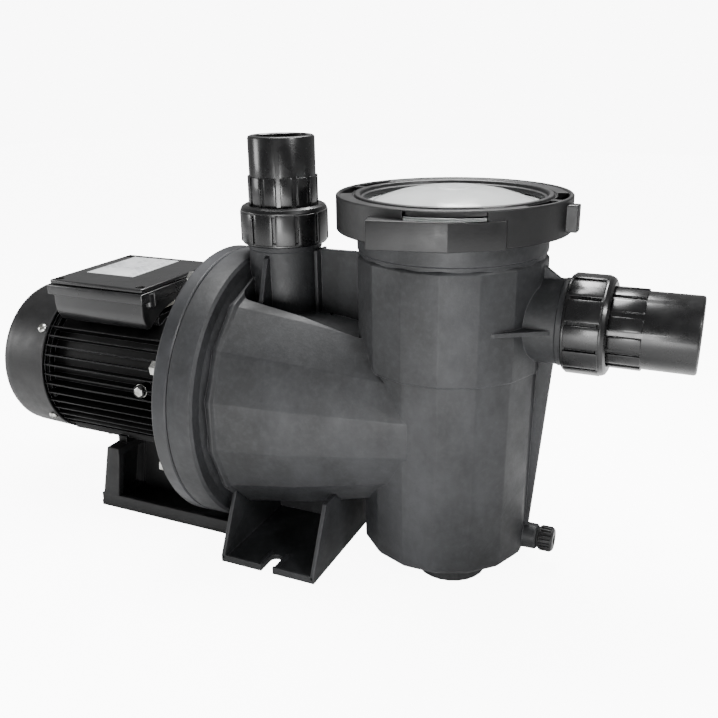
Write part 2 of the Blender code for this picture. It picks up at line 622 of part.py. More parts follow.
def impeller():
    """A closed impeller: two shrouds, seven vanes between them and an eye ring."""
    rear, front = IMPELLER_REAR, IMPELLER_FRONT
    wheel = turned("impeller", [
        (rear, SHAFT_R + GAP), (rear, IMPELLER_R), (rear + 3 * MM, IMPELLER_R),
        (rear + 5 * MM, 24 * MM), (front - 3 * MM, 18 * MM), (front - 3 * MM, SHAFT_R + GAP)],
        "dark_plastic", (0, 0, AXIS_Z), ALONG_X)
    shroud = turned("impeller_shroud", [
        (rear + 13 * MM, IMPELLER_R), (rear + 16 * MM, IMPELLER_R), (front - 5 * MM, 29 * MM),
        (front + 6 * MM, 27 * MM), (front + 6 * MM, 24.5 * MM), (front - 8 * MM, 26 * MM)],
        at=(0, 0, AXIS_Z), turn=ALONG_X)
    vane_top = AXIS_Z + IMPELLER_R - 0.6 * MM
    vanes = ring_of(lambda i: plate(f"impeller_vane_{i}", [
        (rear + 2 * MM, vane_top), (rear + 14 * MM, vane_top),
        (front - 6 * MM, AXIS_Z + 28 * MM), (rear + 3 * MM, AXIS_Z + 22 * MM)],
        -1.5 * MM, 1.5 * MM), 7, about=(0, 0, AXIS_Z), axis="X")
    add(wheel, joined("impeller_vanes", vanes), shroud)


def cooling_fan(x):
    fan = turned("cooling_fan", [
        (x, SHAFT_R + GAP), (x, 24 * MM), (x + 14 * MM, 24 * MM), (x + 16 * MM, 62 * MM),
        (x + 18.5 * MM, 62 * MM), (x + 18.5 * MM, SHAFT_R + GAP)],
        "dark_plastic", (0, 0, AXIS_Z), ALONG_X, steps=24)
    blades = ring_of(lambda i: block(
        f"fan_blade_{i}", (x + 1 * MM, -1.2 * MM, AXIS_Z + 22 * MM),
        (x + 17 * MM, 1.2 * MM, AXIS_Z + 66 * MM)), 8, about=(0, 0, AXIS_Z), axis="X")
    add(fan, joined("fan_blades", blades))


def fan_cover():
    rear, mouth = COVER_REAR, HOUSING_REAR - GAP
    wall = 2.2 * MM
    cover = turned("fan_cover", [
        (rear, 12 * MM), (rear, COVER_R - 12 * MM), (rear + 6 * MM, COVER_R - 2.5 * MM),
        (mouth, COVER_R), (mouth, COVER_R - wall), (rear + 7 * MM, COVER_R - wall - 3 * MM),
        (rear + 2 * MM + wall, COVER_R - 14 * MM), (rear + wall, 12 * MM)],
        "dark_plastic", (0, 0, AXIS_Z), ALONG_X)
    slots = joined("cover_slots", ring_of(lambda i: block(
        f"cover_slot_{i}", (rear - OVER, -3 * MM, AXIS_Z + 20 * MM),
        (rear + 5.5 * MM, 3 * MM, AXIS_Z + 62 * MM)), 12, math.pi / 24, (0, 0, AXIS_Z), "X"))
    holes = joined("cover_screw_holes", cover_screw_row(
        "cover_screw_hole", lambda name, at, turn: bar(name, 14 * MM, 2.4 * MM, at=at, turn=turn,
                                                       steps=8)))
    cut(cover, slots, holes)
    cut(bpy.data.objects["rear_shield"], joined("shield_screw_holes", cover_screw_row(
        "shield_screw_hole", lambda name, at, turn: bar(name, 14 * MM, 2.4 * MM, at=at, turn=turn,
                                                        steps=8))))
    cover_screw_row("cover_screw", radial_screw)


def cover_screw_row(name, make):
    """Four radial screws round the fan cover, above and below the level on each side."""
    row = []
    x = HOUSING_REAR - 8 * MM
    for i, angle in enumerate((38, 142, -144, -36)):
        turn = math.radians(angle)
        inner = COVER_R - 10 * MM
        at = (x, inner * math.cos(turn), AXIS_Z + inner * math.sin(turn))
        row.append(make(f"{name}_{i + 1}", at, (turn - math.pi / 2, 0, 0)))
    bpy.context.view_layer.update()
    return row


def radial_screw(name, at, turn):
    """A pan-head screw whose shank starts at its origin and runs out to the cover."""
    head = 10 * MM + 0.5 * MM
    return turned(name, [(0, 0), (0, 2.1 * MM), (head, 2.1 * MM), (head, 4.2 * MM),
                         (head + 1.6 * MM, 3.8 * MM), (head + 2.6 * MM, 0)],
                  "steel", at, turn, steps=8)


def hex_bolt(name, shank_r, shank_length, head_r, head_height, at, turn):
    """A hexagon bolt: its head starts at its origin and its shank runs along +Z."""
    bolt = bar(name, head_height, head_r, "steel", at, turn, steps=6)
    shank = bar(name + "_shank", shank_length + 1 * MM, shank_r, steps=8)
    shank.parent = bolt
    shank.location = (0, 0, head_height - 1 * MM)
    add(bolt, shank)
    return bolt


def flange_bolts():
    head = 9 * MM
    flange_bolt_row("flange_bolt", lambda name: hex_bolt(
        name, 4.0 * MM, PLATE_T + 18 * MM, 7.5 * MM, head,
        (PLATE_REAR - GAP - head, 0, AXIS_Z), ALONG_X))
    for i, (x, y) in enumerate(foot_bolt_spots()):
        hex_bolt(f"cradle_bolt_{i + 1}", 3.0 * MM, 7 * MM, 6.5 * MM, 5 * MM,
                 (x, y, CRADLE_Z[0] - GAP - 5 * MM), UPRIGHT)


def motor_base():
    """The plastic stand under the motor: a sole, a rear post and two low side walls."""
    x0, x1 = BASE_X
    base = block("motor_base", (x0, -BASE_HALF_Y, 0), (x1, BASE_HALF_Y, BASE_T - 9 * MM),
                 "filled_plastic")
    post = plate("base_post", [
        (x0, 1 * MM), (x0 + 22 * MM, 1 * MM), (x0 + 31 * MM, CRADLE_Z[0] - 10 * MM),
        (x0 + 31 * MM, CRADLE_Z[0] - GAP), (x0 + 16 * MM, CRADLE_Z[0] - GAP)],
        -BASE_HALF_Y + 0.2 * MM, BASE_HALF_Y - 0.2 * MM)
    walls = [block(f"base_wall_{i}", (x0 + 1 * MM, y - 2.8 * MM, 0.5 * MM),
                   (x1 - 0.2 * MM, y + 2.8 * MM, BASE_T))
             for i, y in enumerate((3 * MM - BASE_HALF_Y, BASE_HALF_Y - 3 * MM))]
    spine_end = PLATE_REAR - 40 * MM
    spines = [plate(f"base_spine_{i}", [
        (x0 + 20 * MM, 3 * MM), (x1 - 1 * MM, 3 * MM), (x1 - 1 * MM, BASE_T - 3 * MM),
        (spine_end, CRADLE_Z[0] - 33 * MM), (spine_end, CRADLE_Z[0] - GAP),
        (x0 + 25 * MM, CRADLE_Z[0] - GAP)], y, y + 6 * MM)
        for i, y in enumerate((-30 * MM, 24 * MM))]
    add(base, *walls, post, *spines)
    clearance = turned("base_flange_saddle", [
        (PLATE_REAR - 11 * MM, 0), (PLATE_REAR - 11 * MM, FLANGE_R + 0.8 * MM),
        (x1 + OVER, FLANGE_R + 0.8 * MM), (x1 + OVER, 0)],
        at=(0, 0, AXIS_Z), turn=ALONG_X, steps=WIDE)
    cut(base, clearance)


# ---- Terminal box ---------------------------------------------------------------------------
def terminal_box():
    x0, x1 = BOX_X
    wall = 3 * MM
    rim = 11 * MM
    box = block("terminal_box", (x0 + 3 * MM, -BOX_HALF_Y + 4 * MM, BOX_BOTTOM),
                (x1 - 3 * MM, BOX_HALF_Y - 4 * MM, BOX_RIM - 3 * MM), "dark_plastic",
                bevel=4.5 * MM)
    collar = block("box_collar", (x0, -BOX_HALF_Y, BOX_RIM - rim), (x1, BOX_HALF_Y, BOX_RIM))
    add(box, collar)
    hollow = block("box_hollow", (x0 + 3 * MM + wall, -BOX_HALF_Y + 4 * MM + wall, PAD_Z + wall),
                   (x1 - 3 * MM - wall, BOX_HALF_Y - 4 * MM - wall, BOX_RIM + OVER))
    saddle = bar("box_saddle", x1 - x0 + 4 * MM, FIN_R + GAP, at=(x0 - 2 * MM, 0, AXIS_Z),
                 turn=ALONG_X, steps=ROUND)
    pad = block("box_pad_recess", (x0 - OVER, -36 * MM - GAP, AXIS_Z + 60 * MM),
                (x1 + OVER, 36 * MM + GAP, PAD_Z + GAP))
    keep = block("box_floor", (x0 + 4 * MM, -42 * MM, PAD_Z - 1 * MM),
                 (x1 - 4 * MM, 42 * MM, PAD_Z + wall + 1 * MM))
    cut(box, saddle)
    add(box, keep)
    wire = bar("box_wire_hole", 20 * MM, 8 * MM, at=(POT_X - 330 * MM, 0, PAD_Z - 8 * MM))
    gland = bar("box_gland_hole", 20 * MM, 8.3 * MM,
                at=(GLAND_SPOT[0], BOX_HALF_Y - 14 * MM, GLAND_SPOT[1]), turn=(-math.pi / 2, 0, 0))
    holes = joined("box_screw_holes", [
        bar(f"box_screw_hole_{i}", 18 * MM, 2.2 * MM, at=(x, y, BOX_RIM - rim + 4 * MM), steps=8)
        for i, (x, y) in enumerate(lid_screw_spots())])
    cut(box, hollow, pad, wire, gland)
    posts = joined("box_screw_posts", [
        block(f"box_post_{i}", (x - 4.5 * MM, y - 4.5 * MM, BOX_RIM - rim + 2 * MM),
              (x + 4.5 * MM, y + 4.5 * MM, BOX_RIM - 0.5 * MM))
        for i, (x, y) in enumerate(lid_screw_spots())])
    add(box, posts)
    cut(box, holes)
    lid_pieces(x0, x1, wall)


def lid_screw_spots():
    x0, x1 = BOX_X
    inset = 8 * MM
    return [(x, y) for x in (x0 + inset, x1 - inset)
            for y in (-BOX_HALF_Y + inset, BOX_HALF_Y - inset)]


def lid_pieces(x0, x1, wall):
    seam = BOX_RIM + 0.8 * MM
    gasket = block("terminal_gasket", (x0 + 3 * MM, -BOX_HALF_Y + 3 * MM, BOX_RIM + 0.1 * MM),
                   (x1 - 3 * MM, BOX_HALF_Y - 3 * MM, seam - 0.1 * MM), "rubber")
    opening = block("gasket_opening", (x0 + 14 * MM, -BOX_HALF_Y + 14 * MM, BOX_RIM - OVER),
                    (x1 - 14 * MM, BOX_HALF_Y - 14 * MM, seam + OVER))
    lid = block("terminal_lid", (x0 + 1 * MM, -BOX_HALF_Y + 1 * MM, seam),
                (x1 - 1 * MM, BOX_HALF_Y - 1 * MM, BOX_TOP), "dark_plastic", bevel=2 * MM)
    recess = block("lid_recess", (x0 + 14 * MM, -BOX_HALF_Y + 14 * MM, seam - OVER),
                   (x1 - 14 * MM, BOX_HALF_Y - 14 * MM, BOX_TOP - wall))
    label_spot = block("label_recess", (LABEL_X[0], LABEL_Y[0], BOX_TOP - 0.8 * MM),
                       (LABEL_X[1], LABEL_Y[1], BOX_TOP + OVER))
    heads = joined("lid_head_recesses", [
        bar(f"lid_head_recess_{i}", 8 * MM, 4.6 * MM, at=(x, y, BOX_TOP - 5 * MM), steps=8)
        for i, (x, y) in enumerate(lid_screw_spots())])
    holes = joined("lid_screw_holes", [
        bar(f"lid_screw_hole_{i}", 24 * MM, 2.4 * MM, at=(x, y, BOX_TOP - 20 * MM), steps=8)
        for i, (x, y) in enumerate(lid_screw_spots())])
    cut(gasket, opening, holes)
    cut(lid, recess, label_spot, heads, holes)
    block("rating_plate", (LABEL_X[0] + GAP, LABEL_Y[0] + GAP, BOX_TOP - 0.5 * MM),
          (LABEL_X[1] - GAP, LABEL_Y[1] - GAP, BOX_TOP + 0.2 * MM), "label")
    for i, (x, y) in enumerate(lid_screw_spots()):
        seat = BOX_TOP - 5 * MM + GAP
        turned(f"lid_screw_{i + 1}", [
            (seat + 3 * MM, 0), (seat + 2.4 * MM, 3.4 * MM), (seat, 4.0 * MM), (seat, 1.9 * MM),
            (seat - 10 * MM, 1.9 * MM), (seat - 11 * MM, 0)], "steel", (x, y, 0), steps=8)
    electrical(wall)


def electrical(wall):
    """The terminal block and the run capacitor on the box's floor, and the cable gland."""
    floor = PAD_Z + wall + 1 * MM
    strip = block("terminal_block", (POT_X - 322 * MM, -26 * MM, floor + GAP),
                  (POT_X - 304 * MM, 26 * MM, floor + 14 * MM), "white_plastic")
    cut(strip, joined("terminal_wells", [
        block(f"terminal_well_{i}", (POT_X - 318 * MM, -22.5 * MM + i * 9 * MM, floor + 6 * MM),
              (POT_X - 308 * MM, -16.5 * MM + i * 9 * MM, floor + 15 * MM)) for i in range(5)]))
    bar("capacitor", 66 * MM, 12.5 * MM, "white_plastic",
        (POT_X - 398 * MM + 45 * MM, -33 * MM, floor + GAP + 12.6 * MM), (-math.pi / 2, 0, 0))
    turned("cable_gland", [
        (-8 * MM, 5 * MM), (-8 * MM, 8 * MM), (GAP, 8 * MM), (GAP, 11.5 * MM),
        (6 * MM, 11.5 * MM), (13 * MM, 9 * MM), (13 * MM, 5 * MM)], "dark_plastic",
        (GLAND_SPOT[0], BOX_HALF_Y, GLAND_SPOT[1]), (-math.pi / 2, 0, 0), steps=SMALL)


# ---- Strainer pot's loose pieces --------------------------------------------------------------
def strainer_basket():
    """A basket with a rim that rests on the pot's ledge, rows of slots and a bail."""
    top, bottom = LEDGE_Z + 4.3 * MM, POT_FLOOR + 8 * MM
    wall = 2 * MM
    basket = turned("strainer_basket", [
        (bottom, 0), (bottom, 52 * MM), (bottom + 8 * MM, 58 * MM), (LEDGE_Z + GAP, 63 * MM),
        (LEDGE_Z + GAP, POT_BORE_R - 1 * MM), (top, POT_BORE_R - 1 * MM), (top, 62 * MM),
        (bottom + 8.5 * MM, 56 * MM), (bottom + wall, 51 * MM), (bottom + wall, 0)],
        "white_plastic", (POT_X, 0, 0), steps=24)
    rows = []
    for level in range(3):
        low = bottom + 14 * MM + level * 52 * MM
        rows += ring_of(lambda i, low=low, level=level: block(
            f"basket_slot_{level}_{i}", (POT_X + 40 * MM, -3.5 * MM, low),
            (POT_X + 70 * MM, 3.5 * MM, low + 44 * MM)), 12, math.pi / 24, (POT_X, 0, 0))
    floor_slots = [block(f"basket_floor_slot_{i}", (POT_X - 38 * MM, y, bottom - OVER),
                         (POT_X + 38 * MM, y + 6 * MM, bottom + 3 * MM))
                   for i, y in enumerate(14 * MM * step - 34 * MM for step in range(5))]
    bail_outline = [(POT_X - 66 * MM, LEDGE_Z + 1.5 * MM), (POT_X - 66 * MM, 262 * MM),
                    (POT_X - 52 * MM, 300 * MM), (POT_X + 52 * MM, 300 * MM),
                    (POT_X + 66 * MM, 262 * MM), (POT_X + 66 * MM, LEDGE_Z + 1.5 * MM),
                    (POT_X + 62.5 * MM, LEDGE_Z + 1.5 * MM), (POT_X + 62.5 * MM, 261 * MM),
                    (POT_X + 50 * MM, 296 * MM), (POT_X - 50 * MM, 296 * MM),
                    (POT_X - 62.5 * MM, 261 * MM), (POT_X - 62.5 * MM, LEDGE_Z + 1.5 * MM)]
    bail = plate("basket_bail", bail_outline, -3 * MM, 3 * MM)
    add(basket, bail)
    cut(basket, joined("basket_slots", rows), joined("basket_floor_slots", floor_slots))


def clear_lid():
    seat = POT_TOP + GAP
    inside = [(seat + 13 * MM, 0), (seat + 12 * MM, 25 * MM), (seat + 9 * MM, 45 * MM),
              (seat + 4 * MM, 60 * MM), (seat + 1 * MM, 66 * MM), (seat, 68 * MM)]
    outside = [(seat, 89 * MM), (seat + 5 * MM, 89 * MM), (seat + 5 * MM, 72 * MM),
               (seat + 8 * MM, 62 * MM), (seat + 13 * MM, 46 * MM), (seat + 16 * MM, 26 * MM),
               (seat + 17 * MM, 0)]
    turned("clear_lid", inside + outside, "clear_plastic", (POT_X, 0, 0))
    turned("lid_o_ring", [
        (POT_TOP - 1.9 * MM, 81.7 * MM), (POT_TOP + 0.1 * MM, 81.7 * MM),
        (POT_TOP + 0.1 * MM, 85.3 * MM), (POT_TOP - 1.9 * MM, 85.3 * MM)],
        "rubber", (POT_X, 0, 0))


def lock_ring():
    """The ring that holds the lid down: two walls, a top web and two finger grips."""
    web = RING_TOP - 4 * MM
    ring = turned("lock_ring", [
        (RING_BOTTOM, RING_R), (RING_TOP - 1.5 * MM, RING_R), (RING_TOP, RING_R - 1.5 * MM),
        (RING_TOP, RING_MOUTH_R), (web - 3.5 * MM, RING_MOUTH_R), (web - 4.3 * MM, 80 * MM),
        (web - 4.3 * MM, POT_RIM_R - 4 * MM), (web, POT_RIM_R - 3 * MM),
        (web, RING_R - 5 * MM), (RING_BOTTOM + 20 * MM, RING_R - 4.5 * MM),
        (RING_BOTTOM + 18 * MM, POT_RIM_R + 1.2 * MM), (RING_BOTTOM, POT_RIM_R + 1.2 * MM)],
        "dark_plastic", (POT_X, 0, 0), steps=WIDE)
    add(ring, *[grip(i) for i in range(2)], ring_tab())
    slots = []
    for middle in (-7, 173):
        outline = [polar(97 * MM, middle + a, (POT_X, 0.0)) for a in (-26, -13, 0, 13, 26)]
        outline += [polar(92 * MM, middle + a, (POT_X, 0.0)) for a in (26, 13, 0, -13, -26)]
        slots.append(plate(f"ring_slot_{middle}", outline, web - OVER, RING_TOP + OVER, "XY"))
    pockets = [grip_pocket(i) for i in range(2)]
    inside = turned("ring_inside", [
        (RING_BOTTOM - OVER, 0), (RING_BOTTOM - OVER, POT_RIM_R + 1.2 * MM),
        (RING_BOTTOM + 21 * MM, POT_RIM_R + 1.2 * MM), (RING_BOTTOM + 21 * MM, 0)],
        at=(POT_X, 0, 0), steps=WIDE)
    cut(ring, joined("ring_slots", slots), joined("grip_pockets", pockets), inside)


GRIP_FLAT = 107.4 * MM       # distance of the grip's flat face from the pot's axis
GRIP_TURN = 10.0             # the flat faces this many degrees past -Y


def grip_point(across, out, index):
    """A point on a grip, across it and out from the pot's axis."""
    turn = math.radians(GRIP_TURN - 90 + index * 180)
    return (POT_X + out * math.cos(turn) - across * math.sin(turn),
            out * math.sin(turn) + across * math.cos(turn))


def grip(index):
    outline = [(-53, 88), (-50.5, 98), (-50, GRIP_FLAT / MM), (11, GRIP_FLAT / MM),
               (42, 93.5), (42, 88)]
    points = [grip_point(a * MM, b * MM, index) for a, b in outline]
    return plate(f"grip_{index}", points, RING_BOTTOM + 0.2 * MM, RING_BOTTOM + 20.5 * MM, "XY")


def grip_pocket(index):
    outline = [(-40, 95), (-40, 102.8), (9, 102.8), (30, 95)]
    points = [grip_point(a * MM, b * MM, index) for a, b in outline]
    return plate(f"grip_pocket_{index}", points, RING_BOTTOM + 3 * MM, RING_TOP + OVER, "XY")


def ring_tab():
    return block("ring_tab", (POT_X + RING_R - 3 * MM, -16 * MM, RING_BOTTOM + 4 * MM),
                 (POT_X + RING_R + 8 * MM, -4 * MM, RING_TOP - 4 * MM))


# ---- Unions and the drain -----------------------------------------------------------------------
def union(name, face, axis_at, turn, far, spigot_r, nut_r, tail_r):
    """A union: the tail that clamps on the neck's face, its O-ring and its nut."""
    flange = 7 * MM
    lip = face + GAP + flange + GAP
    place = {"at": axis_at, "turn": turn}
    turned(name + "_tail", [
        (face + GAP, PORT_BORE_R), (face + GAP, spigot_r - 0.8 * MM),
        (face + GAP + flange, spigot_r - 0.8 * MM), (face + GAP + flange, tail_r),
        (far - 1.5 * MM, tail_r), (far, tail_r - 1.5 * MM), (far, PORT_BORE_R)],
        "gloss_plastic", **place, steps=24)
    groove_r = (31.5 if name == "suction" else 31.0) * MM
    turned(name + "_o_ring", [
        (face - 1.7 * MM, groove_r - 1.6 * MM), (face + 0.1 * MM, groove_r - 1.6 * MM),
        (face + 0.1 * MM, groove_r + 1.6 * MM), (face - 1.7 * MM, groove_r + 1.6 * MM)],
        "rubber", **place, steps=24)
    turned(name + "_nut", [
        (face - 24.5 * MM, spigot_r + GAP), (face - 24.5 * MM, nut_r - 1.5 * MM),
        (face - 22 * MM, nut_r), (lip + 2 * MM, nut_r), (lip + 4.5 * MM, nut_r - 3 * MM),
        (lip + 4.5 * MM, tail_r + 0.6 * MM), (lip, tail_r + 0.6 * MM), (lip, spigot_r + GAP)],
        "gloss_plastic", **place, steps=24)


def drain():
    face = POT_X + 92 * MM
    turned("drain_seal", [(face + GAP, 6.6 * MM), (face + GAP, 10 * MM),
                          (face + 2 * MM, 10 * MM), (face + 2 * MM, 6.6 * MM)],
           "rubber", (0, 0, DRAIN_Z), ALONG_X, steps=SMALL)
    turned("drain_plug", [
        (face - 16 * MM, 0), (face - 16 * MM, 5.8 * MM), (face + 2.3 * MM, 5.8 * MM),
        (face + 2.3 * MM, 12 * MM), (face + 14 * MM, 12 * MM), (face + 15.5 * MM, 10.5 * MM),
        (face + 15.5 * MM, 0)], "dark_plastic", (0, 0, DRAIN_Z), ALONG_X, steps=SMALL)


def main():
    clear_scene()
    pump_body()
    pump_foot()
    seal_plate()
    diffuser()
    motor_housing()
    motor_ends()
    stator()
    rotor()
    fan_cover()
    flange_bolts()
    motor_base()
    terminal_box()
    strainer_basket()
    clear_lid()
    lock_ring()
    union("suction", SUCTION_FACE, (0, 0, SUCTION_Z), ALONG_X, SUCTION_END,
          SUCTION_SPIGOT_R, 43.2 * MM, 32.8 * MM)
    union("discharge", DISCHARGE_FACE, (PORT_X, 0, 0), UPRIGHT, DISCHARGE_END,
          DISCHARGE_SPIGOT_R, 42.0 * MM, 31.5 * MM)
    drain()


main()
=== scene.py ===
"""Finished model of a swimming pool pump: its pieces, their materials and a plain studio."""

import math

import bpy
from bpy.props import FloatProperty, FloatVectorProperty, IntProperty, PointerProperty
from mathutils import Matrix, Vector


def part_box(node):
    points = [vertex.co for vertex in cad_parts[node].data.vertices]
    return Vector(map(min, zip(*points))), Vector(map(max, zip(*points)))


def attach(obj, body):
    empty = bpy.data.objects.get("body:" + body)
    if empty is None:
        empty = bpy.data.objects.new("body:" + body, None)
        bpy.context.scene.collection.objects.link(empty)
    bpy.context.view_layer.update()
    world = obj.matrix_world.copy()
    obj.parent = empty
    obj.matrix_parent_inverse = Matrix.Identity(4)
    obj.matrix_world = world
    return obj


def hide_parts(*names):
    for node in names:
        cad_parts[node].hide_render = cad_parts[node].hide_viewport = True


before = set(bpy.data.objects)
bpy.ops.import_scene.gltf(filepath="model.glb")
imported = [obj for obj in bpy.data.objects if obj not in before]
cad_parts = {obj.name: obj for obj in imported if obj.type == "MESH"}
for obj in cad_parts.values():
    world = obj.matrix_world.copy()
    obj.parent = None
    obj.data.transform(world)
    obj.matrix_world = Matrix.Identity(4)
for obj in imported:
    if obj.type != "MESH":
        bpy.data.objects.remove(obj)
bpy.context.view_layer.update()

bl_info = {
    "name": "Pool Pump",
    "version": (1, 0, 0),
    "blender": (4, 5, 0),
    "location": "View3D > Sidebar > Pool Pump",
    "description": "Builds a strainer pool pump round its packed frame",
    "category": "Add Mesh",
}

MM = 0.001


def span(node):
    """The lowest and highest corner of a node, in millimetres."""
    low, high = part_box(node)
    return low / MM, high / MM


def middle(node):
    low, high = span(node)
    return (low + high) / 2


# ---- Places and sizes in millimetres, set out from the frame ----------------------------------
POT_X = middle("clear_lid").x
AXIS_Z = middle("shaft").z
PORT_X = middle("discharge_tail").x
SUCTION_Z = middle("suction_tail").z
DRAIN_Z = middle("drain_plug").z
PLATE_REAR = span("seal_plate")[0].x
FLANGE_X = span("pump_body")[0].x
FLANGE_R = -span("pump_body")[0].y
PLATE_R = -span("seal_plate")[0].y
POT_TOP = span("lid_o_ring")[1].z - 0.1
POT_R = 84.0                          # corner radius of the sixteen-sided pot
POT_FOOT_R = 80.5
POT_STEP = 196.0                      # the thicker upper wall ends here
POT_SHOULDER = 292.0
POT_RIM_R = 92.0
LEDGE_Z = span("strainer_basket")[0].z + 175.0    # the basket's rim rests here
BORE_R = 75.0
PORT_BORE_R = 25.0
FACETS = 16
RING_LOW, RING_HIGH = span("lock_ring")[0].z, span("lock_ring")[1].z
RING_R = 102.4
SUCTION_FACE, SUCTION_END = span("suction_tail")[0].x, span("suction_tail")[1].x
PORT_FACE, PORT_END = span("discharge_tail")[0].z, span("discharge_tail")[1].z
SUCTION_R = (38.6, 43.2, 32.8)        # spigot, nut and tail
DISCHARGE_R = (37.2, 42.0, 31.5)
HOUSING_REAR, HOUSING_FRONT = span("motor_housing")[0].x, span("motor_housing")[1].x
HOUSING_R, HOUSING_BORE_R, FIN_R = 69.0, 64.0, 81.0
COVER_REAR, COVER_R = span("fan_cover")[0].x, 83.0
BOX_X = (span("terminal_box")[0].x, span("terminal_box")[1].x)
BOX_Y = span("terminal_box")[1].y
BOX_LOW, BOX_TOP = span("terminal_box")[0].z, span("terminal_lid")[1].z
PAD_Z = 213.0
BELLY_R = 24.0                        # long edges of the terminal box, below
BASE_X = (span("motor_base")[0].x, span("motor_base")[1].x)
BASE_Y = span("motor_base")[1].y
CRADLE_Z = (73.0, 88.0)
FOOT_X = (span("pump_foot")[0].x, span("pump_foot")[1].x)
FOOT_Y = span("pump_foot")[1].y
BOLT_CIRCLE, BOLT_COUNT = 128.0, 8
VOLUTE = [(FLANGE_X + 34.5, 122.5), (FLANGE_X + 102.0, 111.0), (FLANGE_X + 212.0, 82.8)]
CHAMBER_END = FLANGE_X + 119.0
HALF_FACET = math.pi / FACETS

ALONG_X = (0, math.pi / 2, 0)
UPRIGHT = (0, 0, 0)
FLAT = {                              # turns an outline's two axes and its thickness into place
    "XY": Matrix.Identity(4),
    "XZ": Matrix(((1, 0, 0, 0), (0, 0, -1, 0), (0, 1, 0, 0), (0, 0, 0, 1))),
    "YZ": Matrix(((0, 0, 1, 0), (1, 0, 0, 0), (0, 1, 0, 0), (0, 0, 0, 1))),
}


# ---- Shaping ----------------------------------------------------------------------------------
def pick(obj=None):
    """Leaves edit mode and selects this piece alone."""
    if bpy.context.mode != "OBJECT":
        bpy.ops.object.mode_set(mode="OBJECT")
    bpy.ops.object.select_all(action="DESELECT")
    if obj:
        obj.select_set(True)
        bpy.context.view_layer.objects.active = obj
    return obj


def put(obj, at=(0, 0, 0), turn=UPRIGHT):
    """Turns and moves a piece that was made about the world's origin, and applies that."""
    pick(obj)
    bpy.ops.object.transform_apply(location=True, rotation=True, scale=True)
    obj.location = Vector(at) * MM
    obj.rotation_euler = turn
    bpy.ops.object.transform_apply(location=True, rotation=True, scale=True)
    return obj


def lathe(name, profile, sides=96, ring=False, at=(0, 0, 0), turn=UPRIGHT, spin=0.0):
    """Turns a profile of (height, radius): a circle, extruded and resized along the profile.

    A ring's last circle is bridged to its first; any other shape is capped at both ends."""
    pick()
    height, radius = profile[0]
    bpy.ops.mesh.primitive_circle_add(vertices=sides, radius=radius * MM, rotation=(0, 0, spin))
    obj = bpy.context.object
    obj.name = name
    bpy.ops.object.transform_apply(location=True, rotation=True, scale=True)
    bpy.ops.object.mode_set(mode="EDIT")
    bpy.ops.mesh.select_all(action="SELECT")
    bpy.ops.transform.translate(value=(0, 0, height * MM))
    for next_height, next_radius in profile[1:]:
        bpy.ops.mesh.extrude_region_move(
            TRANSFORM_OT_translate={"value": (0, 0, (next_height - height) * MM)})
        grow = next_radius / radius
        bpy.ops.transform.resize(value=(grow, grow, 1), center_override=(0, 0, next_height * MM))
        height, radius = next_height, next_radius
    bpy.ops.mesh.select_all(action="DESELECT")
    bpy.ops.mesh.select_non_manifold()
    if ring:
        bpy.ops.mesh.bridge_edge_loops()
    else:
        bpy.ops.mesh.fill_holes(sides=0)
    bpy.ops.mesh.select_all(action="SELECT")
    bpy.ops.mesh.normals_make_consistent(inside=False)
    return put(obj, at, turn)


def plate(name, outline, low, high, plane="XZ", *holes):
    """A flat outline in millimetres, with holes if any, extruded from low to high."""
    curve = bpy.data.curves.new(name, "CURVE")
    curve.dimensions = "2D"
    curve.fill_mode = "BOTH"
    curve.extrude = (high - low) / 2 * MM
    for corners in (outline, *holes):
        spline = curve.splines.new("POLY")
        spline.points.add(len(corners) - 1)
        for point, (u, v) in zip(spline.points, corners):
            point.co = (u * MM, v * MM, 0, 1)
        spline.use_cyclic_u = True
    obj = bpy.data.objects.new(name, curve)
    bpy.context.scene.collection.objects.link(obj)
    pick(obj)
    bpy.ops.object.convert(target="MESH")
    obj = bpy.context.object
    bpy.ops.object.mode_set(mode="EDIT")
    bpy.ops.mesh.select_all(action="SELECT")
    bpy.ops.mesh.remove_doubles(threshold=0.00001)
    bpy.ops.mesh.dissolve_limited(angle_limit=0.001)
    bpy.ops.mesh.normals_make_consistent(inside=False)
    bpy.ops.object.mode_set(mode="OBJECT")
    centre = (low + high) / 2 * MM * (-1 if plane == "XZ" else 1)
    obj.data.transform(FLAT[plane] @ Matrix.Translation((0, 0, centre)))
    return obj


def block(name, low, high):
    """A box between two corners, to be rounded or joined into a piece."""
    pick()
    low, high = Vector(low), Vector(high)
    bpy.ops.mesh.primitive_cube_add(size=1, location=(low + high) / 2 * MM)
    obj = bpy.context.object
    obj.name = name
    obj.scale = (high - low) * MM
    bpy.ops.object.transform_apply(location=True, rotation=True, scale=True)
    return obj


def rounded(obj, width, segments=2, angle=30):
    """Rounds every edge sharper than the angle."""
    pick(obj)
    edge = obj.modifiers.new("edges", "BEVEL")
    edge.width = width * MM
    edge.segments = segments
    edge.limit_method = "ANGLE"
    edge.angle_limit = math.radians(angle)
    bpy.ops.object.modifier_apply(modifier=edge.name)
    return obj


def boolean(obj, operation, others):
    for other in others:
        pick(obj)
        solid = obj.modifiers.new("solid", "BOOLEAN")
        solid.operation = operation
        solid.solver = "EXACT"
        solid.object = other
        bpy.ops.object.modifier_apply(modifier=solid.name)
        bpy.data.objects.remove(other, do_unlink=True)
    return obj


def unite(obj, *others):
    return boolean(obj, "UNION", others)


def carve(obj, *others):
    return boolean(obj, "DIFFERENCE", others)


def join(name, shapes):
    """Makes several shapes one object."""
    pick()
    for shape in shapes:
        shape.select_set(True)
    bpy.context.view_layer.objects.active = shapes[0]
    bpy.ops.object.join()
    bpy.context.object.name = name
    return bpy.context.object


